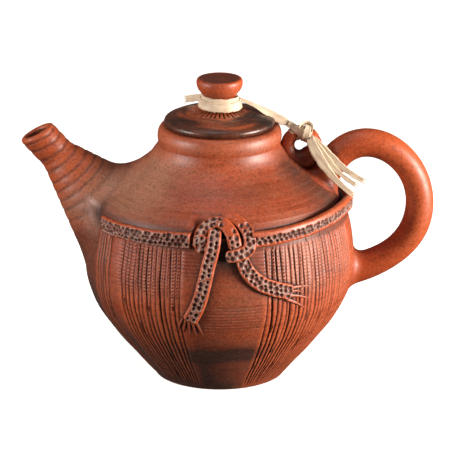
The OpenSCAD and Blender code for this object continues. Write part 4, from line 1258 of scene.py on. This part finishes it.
class TEAPOT_OT_lid(bpy.types.Operator):
    """Domed lid with short cuts round the knob's foot, its flange and its knob"""
    bl_idname = "teapot.lid"
    bl_label = "Lid"

    def execute(self, context):
        """Three turned outlines; the cuts lower the lid in a parabola across each, faded at both ends."""
        colours = context.scene.teapot_colours
        outline = np.concatenate([bezier(LID_HOLLOW, 10), [[22.0, SEAT_Z]], bezier(LID_EDGE, 20),
                                  bezier(LID_DOME, 60)[1:], [[9.6, 147.9], [5.0, 147.9], [2.0, 147.9]]])
        az = np.arange(0.0, 360.0, 360.0 / (TICKS * 9))
        off = np.abs((az * TICKS / 360.0 + 0.5) % 1.0 - 0.5) * math.radians(360.0 / TICKS) * TICK_R
        row = np.arange(len(outline))[:, None]
        dome = (row > 30) * 1.0
        r = outline[:, :1]
        which = np.floor(az * TICKS / 360.0 + 0.5)
        tick_end = 15.6 + 1.0 * np.sin(which * 2.7)
        tick = np.clip(1.0 - (off / TICK_HALF) ** 2, 0.0, 1.0)
        tick = tick * within(r, 10.0, 11.0, tick_end - 0.6, tick_end + 0.5) * dome
        rings = 0.08 * np.sin(row * 0.5) * ease(row, 33.0, 40.0) * dome
        shift = -tick * context.scene.teapot_sizes.tick_depth / MM + rings
        # Black, with red where the smoke was rubbed off: unevenly round the knob's foot, most at the left,
        # in a band across the front and in streaks nearer the edge
        a = np.radians(az)
        reach = 1.8 * np.cos(a + 0.7) + 0.9 * np.sin(5 * a + 0.7) + 0.5 * np.sin(9 * a)
        patch = ease(r, 18.0 + reach, 15.0 + reach) * (0.65 + 0.35 * ease(np.cos(a + 0.6), -0.3, 0.6))
        band = bell(r, 20.6 + 1.3 * np.sin(3 * a + 0.4), 1.5) * ease(np.cos(a + 0.75), 0.5, 0.9)
        streak = bell(r, 25.4 + 0.9 * np.sin(4 * a), 1.2) * ease(np.cos(a - 0.15), 0.7, 0.95)
        fleck = bell(r, 23.4 + 1.2 * np.sin(3 * a), 1.3) * ease(np.sin(3 * a + 2.0), 0.2, 0.9)
        red = np.maximum.reduce([patch, 0.85 * band, 0.9 * streak, 0.7 * fleck]) * dome
        # Wash and painted shade in the cuts
        grid = {"points": turned(outline, az, shift), "hollow": np.clip(tick * 1.1, 0, 1),
                "rub": 0.62 * red, "smoke": 0.2 * dome - 0.6 * red}
        black = fired_clay("blackened_clay", colours)
        finish_piece(build("smoked_lid", grid), black, "dark_clay", "lid", "lid")
        around = np.arange(0.0, 360.0, 2.5)
        ring = np.array([[19.0, 138.8], [19.0, 132.6], [19.4, 131.8], [20.3, 131.6], [21.4, 131.65],
                         [22.1, 132.1], [22.3, 132.8], [22.9, 138.0], [22.9, 138.8]])
        flange = build("lid_ring", {"points": turned(ring, around), "ring": True, "smoke": 0.35})
        finish_piece(flange, fired_clay("smoked_red_clay", colours), "clay", "lid", "lid_flange")
        foot = np.array([[2.0, 147.7], [10.2, 147.7], [9.4, 148.1], [8.7, 148.8], [8.4, 150.4]])
        top = np.array([[10.2, 164.38], [8.6, 164.2], [5.5, 164.05], [2.0, 164.0]])
        outline = np.concatenate([foot, bezier(KNOB_SIDE, 36)[:-1], bezier(KNOB_EDGE, 10), top])
        z = outline[:, 1:]
        inner = ease(outline[:, :1], 11.6, 10.0) * ease(z, 162.0, 163.5)
        # Painted highlight round the flare, and painted shade at the foot and low on the side
        flare_highlight = bell(z, 160.5, 2.6)
        grid = {"points": turned(outline, around), "smoke": 0.62 * inner + 0.06,
                "rub": 0.4 * flare_highlight,
                "hollow": 0.6 * ease(z, 150.5, 148.0) + 0.2 * ease(z, 158.5, 155.0)}
        red = fired_clay("pulled_red_clay", colours)
        finish_piece(build("turned_knob", grid), red, "clay", "lid", "knob")
        return {"FINISHED"}


# Panel and order of work

class TEAPOT_PT_pieces(bpy.types.Panel):
    """Pieces of the teapot and their settings"""
    bl_idname = "TEAPOT_PT_pieces"
    bl_label = "Teapot"
    bl_space_type = "VIEW_3D"
    bl_region_type = "UI"
    bl_category = "Teapot"

    def draw(self, context):
        for group in (context.scene.teapot_sizes, context.scene.teapot_colours):
            box = self.layout.box()
            for key in group.__annotations__:
                box.prop(group, key)
        for operator in STEPS:
            self.layout.operator(operator.bl_idname)


STEPS = (TEAPOT_OT_stage, TEAPOT_OT_raffia, TEAPOT_OT_windings, TEAPOT_OT_bowl, TEAPOT_OT_shoulder,
         TEAPOT_OT_spout, TEAPOT_OT_handle, TEAPOT_OT_lug, TEAPOT_OT_sash, TEAPOT_OT_knot, TEAPOT_OT_lid)
CLASSES = (TeapotSizes, TeapotColours, *STEPS, TEAPOT_PT_pieces)


def register():
    for cls in CLASSES:
        bpy.utils.register_class(cls)
    bpy.types.Scene.teapot_sizes = bpy.props.PointerProperty(type=TeapotSizes)
    bpy.types.Scene.teapot_colours = bpy.props.PointerProperty(type=TeapotColours)


def unregister():
    del bpy.types.Scene.teapot_colours
    del bpy.types.Scene.teapot_sizes
    for cls in reversed(CLASSES):
        bpy.utils.unregister_class(cls)


def main():
    """Builds every piece in order."""
    register()
    bpy.ops.teapot.stage()
    bpy.ops.teapot.raffia()
    bpy.ops.teapot.windings()
    bpy.ops.teapot.bowl()
    bpy.ops.teapot.shoulder()
    bpy.ops.teapot.spout()
    bpy.ops.teapot.handle()
    bpy.ops.teapot.lug()
    bpy.ops.teapot.sash()
    bpy.ops.teapot.knot()
    bpy.ops.teapot.lid()


if __name__ == "__main__":
    main()
